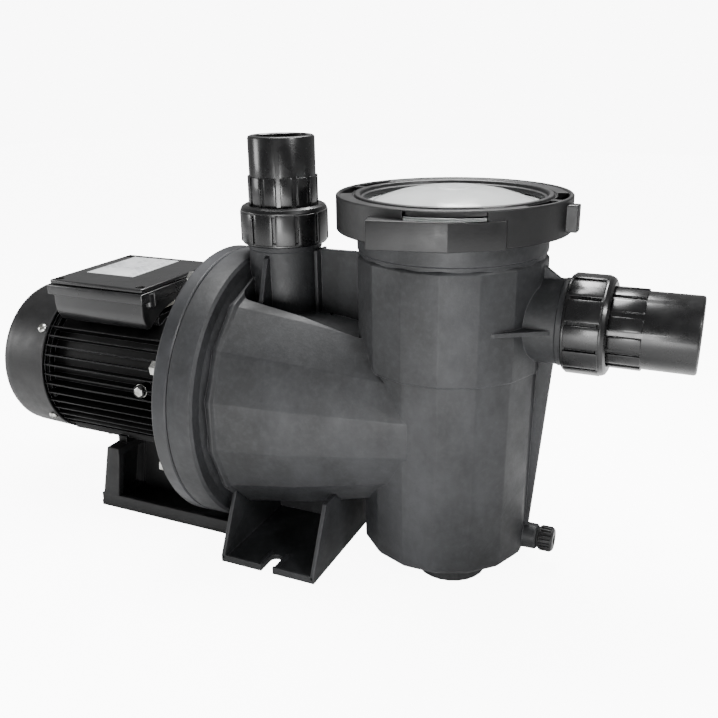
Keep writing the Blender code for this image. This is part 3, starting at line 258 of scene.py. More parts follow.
def around(obj, count, axis="Z", about=(0, 0, 0), start=0.0, sweep=math.tau):
    """Copies of a shape, each with its own mesh, spaced round an axis. The first is removed."""
    made = []
    centre = Matrix.Translation(Vector(about) * MM)
    for i in range(count):
        twin = obj.copy()
        twin.data = obj.data.copy()
        bpy.context.scene.collection.objects.link(twin)
        turn = Matrix.Rotation(start + sweep * i / count, 4, axis)
        twin.data.transform(centre @ turn @ centre.inverted())
        made.append(twin)
    bpy.data.objects.remove(obj, do_unlink=True)
    return made


def arc(radius, start, end, count, about=(0.0, 0.0)):
    """Points of an arc from one angle to another, in degrees."""
    turns = [math.radians(start + (end - start) * i / (count - 1)) for i in range(count)]
    return [(about[0] + radius * math.cos(t), about[1] + radius * math.sin(t)) for t in turns]


def finish(obj, body, finish_maker, nodes=(), smooth=30):
    """Shades a piece, gives it its finish and ties it to its body and its nodes."""
    pick(obj)
    bpy.ops.object.shade_smooth_by_angle(angle=math.radians(smooth))
    obj.data.materials.clear()
    obj.data.materials.append(shared(finish_maker))
    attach(obj, body)
    if nodes:
        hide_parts(*nodes)
    return obj


# ---- Finishes: shared pieces of material ------------------------------------------------------
def linear(code):
    """An sRGB hex colour as linear RGBA."""
    parts = [int(code[i:i + 2], 16) / 255 for i in (1, 3, 5)]
    return (*[c / 12.92 if c <= 0.04045 else ((c + 0.055) / 1.055) ** 2.4 for c in parts], 1.0)


def shared(maker):
    """The finish of this maker, made once and named for it."""
    return bpy.data.materials.get(maker.__name__) or maker(maker.__name__)


def new_finish(name, **values):
    """A material, its tree and its shader, with what is the same all over set on the shader."""
    mat = bpy.data.materials.new(name)
    mat.use_nodes = True
    tree = mat.node_tree
    shader = tree.nodes["Principled BSDF"]
    for key, value in values.items():
        shader.inputs[key.replace("_", " ")].default_value = value
    place = add_node(tree, "ShaderNodeTexCoord").outputs["Object"]
    return mat, tree, shader, place


def add_node(tree, kind, inputs=None, **settings):
    """Adds a node, with its settings, and with its inputs set or linked."""
    made = tree.nodes.new(kind)
    for key, value in settings.items():
        setattr(made, key, value)
    for key, value in (inputs or {}).items():
        if isinstance(value, bpy.types.NodeSocket):
            tree.links.new(value, made.inputs[key])
        else:
            made.inputs[key].default_value = value
    return made


def patches(tree, place, across, low, high, bottom=0.0, top=1.0, detail=5.0, stretch=None):
    """Cloudy patches about so many millimetres across, spread from bottom to top."""
    if stretch:
        place = add_node(tree, "ShaderNodeMapping", {"Vector": place, "Scale": stretch}).outputs[0]
    cloud = add_node(tree, "ShaderNodeTexNoise", {
        "Vector": place, "Scale": 500 / across, "Detail": detail, "Roughness": 0.6})
    return add_node(tree, "ShaderNodeMapRange", {
        "Value": cloud.outputs[0], "From Min": low, "From Max": high,
        "To Min": bottom, "To Max": top}).outputs[0]


def layered(tree, base, *coats):
    """The base colour with each (mask, colour) laid over it in turn."""
    for mask, colour in coats:
        base = add_node(tree, "ShaderNodeMix", {0: mask, 6: base, 7: colour},
                        data_type="RGBA").outputs[2]
    return base


def relief(tree, shader, *grains, normal=None):
    """Fine relief: each (height, strength, depth in millimetres) over the one before."""
    for height, strength, depth in grains:
        inputs = {"Height": height, "Strength": strength, "Distance": depth * MM}
        if normal:
            inputs["Normal"] = normal
        normal = add_node(tree, "ShaderNodeBump", inputs).outputs[0]
    tree.links.new(normal, shader.inputs["Normal"])


def edge_highlight_mask(tree, width, low, high, top):
    """Where the surface turns a corner within a width, as the mask for a painted highlight laid there,
    and the rounded direction there.
    """
    soft = add_node(tree, "ShaderNodeBevel", {"Radius": width * MM}, samples=6).outputs[0]
    true = add_node(tree, "ShaderNodeNewGeometry").outputs["Normal"]
    same = add_node(tree, "ShaderNodeVectorMath", {0: soft, 1: true},
                    operation="DOT_PRODUCT").outputs["Value"]
    mask = add_node(tree, "ShaderNodeMapRange", {
        "Value": same, "From Min": high, "From Max": low, "To Min": 0.0, "To Max": top})
    return mask.outputs[0], soft


def moulding(name, colour, pale, rough, grain=0.8, grain_strength=0.25, dust=0.25, coat=0.0):
    """A moulded plastic: nearly even colour, patches of pale bloom, dust and fine grain, and a grey
    painted highlight along its edges.
    """
    mat, tree, shader, place = new_finish(name, IOR=1.5, Coat_Weight=coat, Coat_Roughness=0.10)
    bloom = patches(tree, place, 26, 0.40, 0.70)
    specks = patches(tree, place, 2.6, 0.54, 0.82, 0.0, dust * 0.6)
    # Painted highlight: a fixed grey laid along every edge. On the pale plastics the same grey darkens
    # the edges instead.
    edges, soft = edge_highlight_mask(tree, 0.8, 0.75, 0.98, 0.35)
    tree.links.new(layered(tree, colour, (bloom, pale), (specks, linear("#3a3b3d")),
                           (edges, linear("#2c2d2f"))), shader.inputs["Base Color"])
    tree.links.new(patches(tree, place, 9, 0.35, 0.70, rough - 0.05, rough + 0.10),
                   shader.inputs["Roughness"])
    relief(tree, shader, (patches(tree, place, grain, 0.2, 0.8), grain_strength, 0.2), normal=soft)
    return mat


def metal(name, colour, stain, rough, marks=1.2, stretch=None):
    """Bare or plated metal: fine tool marks, with duller patches."""
    mat, tree, shader, place = new_finish(name, Metallic=1.0)
    dull = patches(tree, place, 5, 0.45, 0.70)
    lines = patches(tree, place, marks, 0.3, 0.7, stretch=stretch)
    tree.links.new(layered(tree, colour, (dull, stain)), shader.inputs["Base Color"])
    tree.links.new(patches(tree, place, 3, 0.3, 0.7, rough - 0.06, rough + 0.12),
                   shader.inputs["Roughness"])
    relief(tree, shader, (lines, 0.2, 0.1))
    return mat


# ---- Finishes ---------------------------------------------------------------------------------
def glass_filled_polypropylene(name):
    """Polypropylene with glass fibre, injection moulded. The eye gets a matte charcoal skin,
    clouded with paler flow marks and mottled finely by the fibres, with a painted highlight
    along its corners."""
    tones = bpy.context.scene.pump_finishes
    mat, tree, shader, place = new_finish(name, IOR=1.49)
    clouds = patches(tree, place, 26, 0.36, 0.68, 0.2, 0.9, 6.0)
    flow = patches(tree, place, 48, 0.50, 0.74, 0.0, 0.6, 6.0, stretch=(1.0, 1.0, 0.45))
    mottle = patches(tree, place, 2.6, 0.46, 0.80, 0.0, 0.22)
    pits = patches(tree, place, 1.5, 0.58, 0.76, 0.0, 0.3)
    # Painted highlight: a pale grey laid along the corners and facet edges.
    edges, soft = edge_highlight_mask(tree, 0.9, 0.80, 0.985, 0.5)
    colour = layered(tree, tuple(tones.body_dark), (clouds, tuple(tones.body_mid)),
                     (flow, tuple(tones.body_light)), (mottle, tuple(tones.body_light)),
                     (pits, tuple(tones.body_dark)), (edges, linear("#5e5f62")))
    tree.links.new(colour, shader.inputs["Base Color"])
    tree.links.new(patches(tree, place, 12, 0.3, 0.7, 0.62, 0.44), shader.inputs["Roughness"])
    waves = patches(tree, place, 9, 0.2, 0.8)
    grain = patches(tree, place, 1.1, 0.2, 0.8)
    relief(tree, shader, (waves, 0.25, 0.4), (grain, 0.35, 0.22), normal=soft)
    return mat


def plate_polypropylene(name):
    """The same plastic in a smoother tool: an even, satin, slightly darker black."""
    return moulding(name, linear("#222325"), linear("#38393c"), 0.40, 1.2, 0.2, 0.25)


def base_polypropylene(name):
    """Polypropylene from a coarse tool: matte black, grained, dusty on its flats."""
    return moulding(name, linear("#0a0a0b"), linear("#151617"), 0.48, 1.0, 0.35, 0.14)


def ring_polypropylene(name):
    """Filled plastic that hands have polished: dark grey, satin, with pale flow lines."""
    return moulding(name, linear("#060607"), linear("#0e0e0f"), 0.40, 1.1, 0.25, 0.08)


def union_vinyl(name):
    """Rigid vinyl, moulded in a polished tool: deep black with sharp highlights."""
    return moulding(name, linear("#060607"), linear("#0b0b0c"), 0.27, 1.6, 0.08, 0.04, 0.2)


def drain_nylon(name):
    """Nylon cap, satin and dark."""
    return moulding(name, linear("#0b0b0c"), linear("#161617"), 0.42)


def cover_polypropylene(name):
    """Talc-filled fan cover: satin dark grey with a fine spark-eroded texture."""
    return moulding(name, linear("#060607"), linear("#0c0c0d"), 0.44, 0.9, 0.25, 0.05)


def box_plastic_gloss(name):
    """Terminal box in glossy black plastic, polished tool, a little scuffed."""
    return moulding(name, linear("#101011"), linear("#1b1b1c"), 0.32, 1.8, 0.06, 0.05, 0.3)


def inner_polyamide(name):
    """Black polyamide of the impeller, the diffuser and the fan."""
    return moulding(name, linear("#0d0d0e"), linear("#19191a"), 0.45)


def painted_aluminium(name):
    """Extruded aluminium under black paint: satin, with a grey painted highlight along the fins' edges.
    """
    mat, tree, shader, place = new_finish(name, IOR=1.5, Specular_IOR_Level=0.22)
    # Painted highlight: a light grey laid along the fins' edges and tips.
    edges, soft = edge_highlight_mask(tree, 0.6, 0.84, 0.98, 0.8)
    dust = patches(tree, place, 3, 0.55, 0.80, 0.0, 0.3)
    bloom = patches(tree, place, 20, 0.4, 0.7)
    tree.links.new(layered(tree, linear("#020202"), (bloom, linear("#040404")),
                           (dust, linear("#0b0b0c")), (edges, linear("#7d7e80"))),
                   shader.inputs["Base Color"])
    tree.links.new(patches(tree, place, 6, 0.3, 0.7, 0.34, 0.50), shader.inputs["Roughness"])
    relief(tree, shader, (patches(tree, place, 1.4, 0.2, 0.8), 0.25, 0.2), normal=soft)
    return mat


def cast_aluminium(name):
    """Die-cast aluminium, blasted: pale grey metal with a soft, pitted sheen."""
    return metal(name, linear("#8f9092"), linear("#6d6e70"), 0.46, 0.9)


def zinc_plated_steel(name):
    """Zinc-plated fasteners: bright, faintly warm, with duller spots."""
    return metal(name, linear("#c9c9c6"), linear("#96968f"), 0.24, 0.8)


def ground_steel(name):
    """Stainless shaft and bearings, ground round: fine lines across the length."""
    return metal(name, linear("#b4b5b8"), linear("#8c8d90"), 0.20, 0.6, (6.0, 1.0, 1.0))


def lamination_steel(name):
    """Stacked electrical steel: thin grey sheets edge on, half a millimetre each, drawn 1.2."""
    return metal(name, linear("#5c5d60"), linear("#3f4043"), 0.42, 1.2, (4.0, 0.3, 0.3))


def enamelled_copper(name):
    """Varnished winding wire: red-brown metal, strands about a millimetre thick."""
    return metal(name, linear("#8a4a28"), linear("#5f2f18"), 0.34, 1.0, (1.0, 4.0, 4.0))


def nitrile_rubber(name):
    """Nitrile seals: soft black with a slight bloom."""
    return moulding(name, linear("#0c0c0d"), linear("#1b1b1c"), 0.66, 0.8, 0.2, 0.2)


def alumina_ceramic(name):
    """Lapped alumina: cream white, hard and faintly glossy."""
    return moulding(name, linear("#d8d3c6"), linear("#e6e2d8"), 0.22, 0.8, 0.05, 0.0)


def white_polyamide(name):
    """Off-white electrical plastic, slightly yellowed."""
    return moulding(name, linear("#c9c7bd"), linear("#d8d6cc"), 0.40, 0.9, 0.15, 0.05)


def basket_polypropylene(name):
    """Natural white polypropylene: milky, waxy and a little translucent."""
    mat, tree, shader, place = new_finish(name, IOR=1.49, Subsurface_Weight=0.15,
                                          Subsurface_Scale=0.004)
    tree.links.new(layered(tree, linear("#c4c8c4"), (patches(tree, place, 16, 0.4, 0.7),
                                                     linear("#dde0dc"))),
                   shader.inputs["Base Color"])
    tree.links.new(patches(tree, place, 5, 0.3, 0.7, 0.34, 0.5), shader.inputs["Roughness"])
    relief(tree, shader, (patches(tree, place, 1.2, 0.2, 0.8), 0.2, 0.2))
    return mat


def clear_polycarbonate(name):
    """Moulded polycarbonate lid: clear, with the pale haze and ripple of a thick moulding."""
    mat, tree, shader, place = new_finish(name, IOR=1.585, Transmission_Weight=0.52)
    tree.links.new(layered(tree, linear("#f0f3f2"), (patches(tree, place, 14, 0.4, 0.7),
                                                     linear("#fbfcfc"))),
                   shader.inputs["Base Color"])
    tree.links.new(patches(tree, place, 8, 0.3, 0.7, 0.10, 0.24), shader.inputs["Roughness"])
    relief(tree, shader, (patches(tree, place, 12, 0.2, 0.8), 0.3, 0.5))
    return mat


def printed_foil(name):
    """Brushed foil plate, printed with plain rows of grey bars that spell nothing."""
    mat, tree, shader, place = new_finish(name, Metallic=0.25)
    spot = middle("rating_plate") * MM
    at = add_node(tree, "ShaderNodeMapping", {
        "Vector": place, "Location": (-spot.x, -spot.y, 0.0)}).outputs[0]
    # Rows of print about 5 mm apart, in bars 11 mm long.
    rows = add_node(tree, "ShaderNodeTexBrick", {
        "Vector": at, "Color1": (0, 0, 0, 1), "Color2": (0.5, 0.5, 0.5, 1), "Mortar": (1, 1, 1, 1),
        "Scale": 100.0, "Mortar Size": 0.16, "Brick Width": 1.1, "Row Height": 0.5}).outputs[1]
    blank = patches(tree, at, 18, 0.44, 0.50)
    ink = add_node(tree, "ShaderNodeMath", {0: rows, 1: blank}, operation="MAXIMUM").outputs[0]
    ink = add_node(tree, "ShaderNodeMapRange", {
        "Value": ink, "To Min": 0.7, "To Max": 0.0}).outputs[0]
    tree.links.new(layered(tree, linear("#dfe1e2"), (patches(tree, place, 10, 0.4, 0.7),
                           linear("#bcbec1")), (ink, linear("#85878a"))),
                   shader.inputs["Base Color"])
    tree.links.new(patches(tree, place, 1.0, 0.3, 0.7, 0.30, 0.42, stretch=(0.2, 3.0, 1.0)),
                   shader.inputs["Roughness"])
    relief(tree, shader, (patches(tree, place, 0.8, 0.2, 0.8, stretch=(0.2, 3.0, 1.0)), 0.1, 0.1))
    return mat


def studio_floor(name):
    """White studio paper: matte, with a barely visible tooth, lit from behind as it is seen."""
    mat, tree, shader, place = new_finish(name, Specular_IOR_Level=0.1)
    view = bpy.context.scene.pump_stage
    seen = add_node(tree, "ShaderNodeLightPath").outputs["Is Camera Ray"]
    place = add_node(tree, "ShaderNodeTexCoord").outputs["Object"]
    away = add_node(tree, "ShaderNodeVectorMath", {0: place, 1: view.pool_spot},
                    operation="DISTANCE").outputs["Value"]
    pool = add_node(tree, "ShaderNodeMapRange", {
        "Value": away, "From Min": 0.15, "From Max": 0.70, "To Min": view.pool_light,
        "To Max": view.floor_light}, interpolation_type="SMOOTHSTEP").outputs[0]
    glow = add_node(tree, "ShaderNodeMapRange", {
        "Value": seen, "To Min": pool, "To Max": view.backdrop}).outputs[0]
    tree.links.new(glow, shader.inputs["Emission Strength"])
    tree.links.new(layered(tree, linear("#f7f7f7"), (patches(tree, place, 60, 0.4, 0.7),
                                                     linear("#f3f3f3"))),
                   shader.inputs["Base Color"])
    tree.links.new(patches(tree, place, 4, 0.3, 0.7, 0.9, 1.0), shader.inputs["Roughness"])
    return mat


# ---- What a user would change -----------------------------------------------------------------
class PumpFinishes(bpy.types.PropertyGroup):
    """Tones of the body's plastic."""
    body_dark: FloatVectorProperty(
        name="Body dark", description="Darkest tone of the pump body's plastic",
        default=linear("#141516"), size=4, subtype="COLOR")
    body_mid: FloatVectorProperty(
        name="Body mid", description="Usual tone of the pump body's plastic",
        default=linear("#27282a"), size=4, subtype="COLOR")
    body_light: FloatVectorProperty(
        name="Body light", description="Palest flow marks in the pump body's plastic",
        default=linear("#46474a"), size=4, subtype="COLOR")


class PumpSizes(bpy.types.PropertyGroup):
    """Counts and sizes of the repeated details."""
    fins: IntProperty(name="Fins", description="Cooling fins round the motor", default=48, min=12)
    fin_thickness: FloatProperty(
        name="Fin thickness", description="Thickness of a cooling fin", default=1.3 * MM,
        unit="LENGTH")
    nut_panels: IntProperty(
        name="Nut panels", description="Raised grip panels round a union nut", default=12)
    tail_panels: IntProperty(
        name="Tail panels", description="Raised panels round a union tail", default=13)
    cover_slots: IntProperty(
        name="Cover slots", description="Air slots in the fan cover's end", default=28)
    lid_ribs: IntProperty(name="Lid ribs", description="Ribs under the clear lid", default=8)


class StageSizes(bpy.types.PropertyGroup):
    """The studio and its camera."""
    lens: FloatProperty(
        name="Lens", description="Focal length on a 36 mm sensor", default=41.55, unit="CAMERA")
    eye: FloatVectorProperty(
        name="Eye", description="Where the camera stands", default=(0.3593, -0.69595, 0.45175),
        size=3, subtype="TRANSLATION", unit="LENGTH")
    azimuth: FloatProperty(
        name="Azimuth", description="How far the view turns left of +Y",
        default=math.radians(24.43), subtype="ANGLE")
    elevation: FloatProperty(
        name="Elevation", description="How far the view looks down",
        default=math.radians(19.43), subtype="ANGLE")
    roll: FloatProperty(
        name="Roll", description="Tilt of the horizon", default=math.radians(-0.81),
        subtype="ANGLE")
    key_power: FloatProperty(
        name="Key power", description="Power of the large soft light", default=30.0, unit="POWER")
    sky: FloatProperty(
        name="Sky", description="Light that the surroundings give the pump", default=0.30, min=0.0)
    floor_light: FloatProperty(
        name="Floor light", description="Light that the white floor throws back at the pump",
        default=0.15, min=0.0)
    pool_light: FloatProperty(
        name="Pool light", description="Light from the floor's bright pool before the pump",
        default=6.5, min=0.0)
    pool_spot: FloatVectorProperty(
        name="Pool spot", description="Middle of the floor's bright pool",
        default=(0.34, -1.05, 0.0), size=3, subtype="TRANSLATION", unit="LENGTH")
    backdrop: FloatProperty(
        name="Backdrop", description="Brightness of the white backdrop and floor as seen",
        default=9.0, min=0.0)


# ---- Pump body --------------------------------------------------------------------------------
def pot_shapes():
    """The pot: sixteen flat sides, thicker above the step, with a round throat and a rim."""
    lower = lathe("pot_lower", [
        (12, POT_FOOT_R - 4), (17, POT_FOOT_R), (POT_STEP, POT_R - 0.8),
        (POT_SHOULDER - 4, POT_R - 0.4)], FACETS, at=(POT_X, 0, 0), spin=HALF_FACET)
    upper = lathe("pot_upper", [
        (POT_STEP, POT_R - 3), (POT_STEP + 1, POT_R + 1.0), (POT_SHOULDER + 2, POT_R + 1.2),
        (POT_SHOULDER + 4.5, POT_R - 0.6)], FACETS, at=(POT_X, 0, 0), spin=HALF_FACET)
    throat = lathe("pot_throat", [
        (POT_SHOULDER - 8, POT_R - 1.6), (POT_SHOULDER + 7, POT_R - 1.6),
        (POT_SHOULDER + 8.5, POT_R + 0.2), (RING_LOW + 2, POT_R + 0.8), (RING_LOW + 5, POT_RIM_R),
        (POT_TOP - 1, POT_RIM_R), (POT_TOP, POT_RIM_R - 1)], 96, at=(POT_X, 0, 0))
    return rounded(lower, 1.2, 2, 12), rounded(upper, 0.9, 2, 12), throat


def volute_shape():
    """The volute: a sixteen-sided cone about the shaft, hollowed on top beside the port."""
    (xa, ra), (xb, rb), (xc, rc) = VOLUTE
    cone = lathe("volute", [
        (xa - 8, ra - 1.5), (xa - 3.5, ra - 1.5), (xa - 1.5, ra + 2.2), (xa + 2.5, ra + 2.2),
        (xa + 5, ra - 1), (xb, rb), (xc, rc), (xc + 6, rc - 8)],
        FACETS, at=(0, 0, AXIS_Z), turn=ALONG_X, spin=HALF_FACET)
    rounded(cone, 0.8, 2, 12)
    valley = plate("valley", [(xa + 1, 236), (POT_X - 60, 218), (POT_X - 60, 310), (xa + 1, 310)],
                   -56, 56)
    return carve(cone, rounded(valley, 9, 4))


def flange_shape():
    return lathe("body_flange", [
        (FLANGE_X, FLANGE_R - 1.2), (FLANGE_X + 1.2, FLANGE_R), (FLANGE_X + 19, FLANGE_R),
        (FLANGE_X + 24, FLANGE_R - 1), (FLANGE_X + 26.5, FLANGE_R - 3.6),
        (FLANGE_X + 27, 126), (FLANGE_X + 31, 117)],
        128, at=(0, 0, AXIS_Z), turn=ALONG_X)


def neck_shapes():
    """The two ports' necks, each with the spigot that its union nut covers."""
    spigot = 25.2
    shapes = []
    for name, start, face, neck_r, spigot_r, at, turn in (
            ("suction_neck", POT_X + 40, SUCTION_FACE, 37.4, SUCTION_R[0],
             (0, 0, SUCTION_Z), ALONG_X),
            ("discharge_neck", 200, PORT_FACE, 34.8, DISCHARGE_R[0], (PORT_X, 0, 0), UPRIGHT)):
        shapes.append(lathe(name, [
            (start, neck_r), (face - spigot - 5, neck_r), (face - spigot - 4, neck_r + 0.8),
            (face - spigot, neck_r + 0.8), (face - spigot, spigot_r), (face - 2, spigot_r),
            (face - 0.4, spigot_r - 1.4)], 96, at=at, turn=turn))
    return shapes


def web_shapes():
    """Webs, fins and gussets that stiffen the necks, and the keel under the suction port."""
    half = 2.4
    webs = [
        plate("discharge_web", [(PORT_X + 18, 215), (POT_X - 66, 215), (POT_X - 66, 289),
                                (PORT_X + 18, 289)], -half, half),
        plate("discharge_brace", [
            (PORT_X - 16, 288), (PORT_X - 35.5, 288), (FLANGE_X + 26, 262), (FLANGE_X + 26, 222),
            (PORT_X - 16, 222)], -half, half),
        plate("suction_top_fin", [
            (POT_X + 70, 268), (POT_X + 101, 268), (POT_X + 101, 278), (POT_X + 84, 290),
            (POT_X + 70, 290)], -half, half),
        plate("suction_keel", [
            (POT_X + 70, 216), (POT_X + 96, 216), (POT_X + 95.5, 201), (POT_X + 81.8, 30),
            (POT_X + 70, 22)], -half, half),
        plate("suction_side_fins", [
            (POT_X + 50, 64), (POT_X + 58, 62), (POT_X + 98, 38), (POT_X + 98, -38),
            (POT_X + 58, -62), (POT_X + 50, -64)], SUCTION_Z - 2.2, SUCTION_Z + 1.8, "XY")]
    for side in (-1, 1):
        low, high = sorted((side * 1, side * 11))
        webs.append(block("web_rib", (PORT_X + 36, low, 226), (PORT_X + 39.6, high, 289)))
    # Upright ribs on the discharge neck, front and rear.
    for side in (-1, 1):
        webs.append(plate("discharge_rib", [
            (side * 30, 216), (side * 58, 228), (side * 39, 284), (side * 30, 288)],
            PORT_X - half, PORT_X + half, "YZ"))
    return [rounded(web, 0.8) for web in webs]


def stadium(x, half_length, radius, count=13):
    """An outline along Y with round ends."""
    return (arc(radius, 0, 180, count, (x, half_length))
            + arc(radius, 180, 360, count, (x, -half_length)))


def body_hollows():
    """The wet space and the drain, cut out of the body."""
    return [
        lathe("pot_bore", [(20, 63), (24, 67), (LEDGE_Z, 69), (LEDGE_Z, BORE_R),
                           (POT_TOP + 2, BORE_R)], 96, at=(POT_X, 0, 0)),
        lathe("volute_bore", [
            (FLANGE_X - 1, 100), (FLANGE_X + 12, 100), (FLANGE_X + 12, 88),
            (CHAMBER_END - 14, 84), (CHAMBER_END, 70)], 96, at=(0, 0, AXIS_Z), turn=ALONG_X),
        lathe("suction_eye", [(CHAMBER_END - 5, 20), (CHAMBER_END + 55, 20)], 48,
              at=(0, 0, AXIS_Z), turn=ALONG_X),
        lathe("suction_bore", [(POT_X + 40, PORT_BORE_R), (SUCTION_FACE + 1, PORT_BORE_R)], 64,
              at=(0, 0, SUCTION_Z), turn=ALONG_X),
        lathe("discharge_bore", [(178, PORT_BORE_R), (PORT_FACE + 1, PORT_BORE_R)], 64,
              at=(PORT_X, 0, 0)),
        lathe("drain_bore", [(POT_X + 40, 6.3), (POT_X + 100, 6.3)], 32, at=(0, 0, DRAIN_Z),
              turn=ALONG_X),
        plate("foot_hollow", stadium(POT_X + 17, 33, 27), -1, 10, "XY")]


class PUMP_OT_body(bpy.types.Operator):
    """Builds the pump body: pot, volute, flange, necks and their webs, in one moulding"""
    bl_idname = "pump.body"
    bl_label = "Pump body"

    def execute(self, context):
        lower, upper, throat = pot_shapes()
        foot = rounded(plate("pot_foot", stadium(POT_X + 17, 33, 33), 0, 18, "XY"), 1.2)
        boss = lathe("drain_boss", [(POT_X + 60, 12.6), (POT_X + 90.6, 12), (POT_X + 92, 11)], 48,
                     at=(0, 0, DRAIN_Z), turn=ALONG_X)
        body = unite(lower, volute_shape(), flange_shape(), upper, throat, *neck_shapes(),
                     *web_shapes(), foot, boss)
        carve(body, *body_hollows())
        body.name = "pump_body_moulding"
        finish(body, "pump", glass_filled_polypropylene, ["pump_body"], 14)
        return {"FINISHED"}


class PUMP_OT_foot(bpy.types.Operator):
    """Builds the foot under the volute: sole, gussets, cross wall and lipped bolt slots"""
    bl_idname = "pump.foot"
    bl_label = "Pump foot"

    def execute(self, context):
        x0, x1 = FOOT_X
        centre = (x0 + x1) / 2
        slots = [arc(6.3, 180 if side > 0 else 0, 360 if side > 0 else 180, 9,
                     (centre, side * (FOOT_Y - 18))) + [
                     (centre + side * 6.3, side * (FOOT_Y + 2)),
                     (centre - side * 6.3, side * (FOOT_Y + 2))] for side in (-1, 1)]
        sole = block("foot_sole", (x0, -FOOT_Y, 0), (x1, FOOT_Y, 5))
        outline = [(-FOOT_Y, 0), (FOOT_Y, 0), (FOOT_Y, 7), (89, 68), (-89, 68), (-FOOT_Y, 7)]
        walls = [plate("foot_gusset", outline, x, x + 4, "YZ") for x in (x0, x1 - 4)]
        walls.append(block("foot_cross", (x0 + 1, -8, 2), (x1 - 1, 8, 60)))
        for side in (-1, 1):
            y = side * (FOOT_Y - 1.6)
            walls.append(block("front_lip", (x0 + 1, y - 1.6, 1), (x1 - 1, y + 1.6, 7.5)))
            for x in (centre - 8.6, centre + 8.6):
                lip_y = sorted((side * (FOOT_Y - 0.2), side * (FOOT_Y - 26)))
                walls.append(block("slot_lip", (x - 1.4, lip_y[0], 1), (x + 1.4, lip_y[1], 7.5)))
        foot = unite(rounded(sole, 0.8), *[rounded(wall, 0.7) for wall in walls])
        cutters = [plate("foot_slot", outline_, -1, 12, "XY") for outline_ in slots]
        saddle = lathe("volute_saddle", [
            (VOLUTE[0][0] - 8, VOLUTE[0][1] + 0.3), (VOLUTE[0][0], VOLUTE[0][1] + 0.3),
            (VOLUTE[1][0], VOLUTE[1][1] + 0.3), (VOLUTE[2][0], VOLUTE[2][1] + 0.3)],
            FACETS, at=(0, 0, AXIS_Z), turn=ALONG_X, spin=HALF_FACET)
        flange = lathe("flange_saddle", [
            (FLANGE_X, FLANGE_R + 0.4), (FLANGE_X + 27, FLANGE_R + 0.4), (FLANGE_X + 36, 120)],
            128, at=(0, 0, AXIS_Z), turn=ALONG_X)
        carve(foot, *cutters, saddle, flange)
        foot.name = "pump_foot_moulding"
        finish(foot, "pump", glass_filled_polypropylene, ["pump_foot"], 25)
        return {"FINISHED"}


class PUMP_OT_seal_plate(bpy.types.Operator):
    """Builds the seal plate between the pump and the motor, ribbed at the rear"""
    bl_idname = "pump.seal_plate"
    bl_label = "Seal plate"

    def execute(self, context):
        rear, front = PLATE_REAR, FLANGE_X - 0.3
        rim = lathe("seal_plate_moulding", [
            (rear, 16), (rear, 60), (rear + 6, 62), (rear + 6, 112), (rear, 114),
            (rear, PLATE_R - 1.6), (rear + 0.5, PLATE_R - 0.6), (rear + 1.6, PLATE_R),
            (front - 1.2, PLATE_R), (front, PLATE_R - 1.2), (front, 99.5),
            (FLANGE_X + 8, 99.5), (FLANGE_X + 8, 70), (FLANGE_X + 2, 60), (FLANGE_X + 2, 16)],
            128, ring=True, at=(0, 0, AXIS_Z), turn=ALONG_X)
        ribs = around(rounded(block("plate_rib", (rear + 0.4, -1.6, AXIS_Z + 60.5),
                                    (rear + 7, 1.6, AXIS_Z + 113)), 0.4),
                      24, "X", (0, 0, AXIS_Z), HALF_FACET)
        unite(rim, join("plate_ribs", ribs))
        carve(rim, block("base_flat", (rear - 1, -90, -5), (FLANGE_X + 1, 90, 18.5)))
        finish(rim, "pump", plate_polypropylene, ["seal_plate"], 25)
        return {"FINISHED"}


def hex_head(name, across_corners, height, at, turn, shank_r=0.0, shank=0.0, washer=True):
    """A hexagon bolt: chamfered head, washer and shank, its head's top at its origin."""
    profile = [(0, across_corners * 0.80), (0.9, across_corners), (height, across_corners)]
    head = rounded(lathe("head", profile, 6), 0.25)
    shapes = [head]
    if washer:
        shapes.append(rounded(lathe("washer", [(height - 0.2, across_corners * 1.15),
                                               (height + 1.2, across_corners * 1.15)], 32), 0.25))
    if shank:
        shapes.append(lathe("shank", [(height - 1, shank_r), (height + shank, shank_r)], 16))
    return put(unite(*shapes) if len(shapes) > 1 else head, at, turn)


class PUMP_OT_bolts(bpy.types.Operator):
    """Adds the flange bolts round the seal plate and the bright bolt beside the motor"""
    bl_idname = "pump.bolts"
    bl_label = "Bolts"

    def execute(self, context):
        first = hex_head("flange_bolt_new", 7.4, 7.8, (PLATE_REAR - 9.2, BOLT_CIRCLE, AXIS_Z),
                         ALONG_X, 4.0, 24)
        for i, bolt in enumerate(around(first, BOLT_COUNT, "X", (0, 0, AXIS_Z), math.pi / 8)):
            bolt.name = f"flange_hex_bolt_{i + 1}"
            finish(bolt, "pump", zinc_plated_steel, [f"flange_bolt_{i + 1}"], 20)
        boss = hex_head("housing_hex_bolt", 6.2, 4.5, (-163, -FIN_R - 2.2, AXIS_Z + 4),
                        (-math.pi / 2, 0, 0), 2.5, 8)
        finish(boss, "pump", zinc_plated_steel, (), 20)
        return {"FINISHED"}


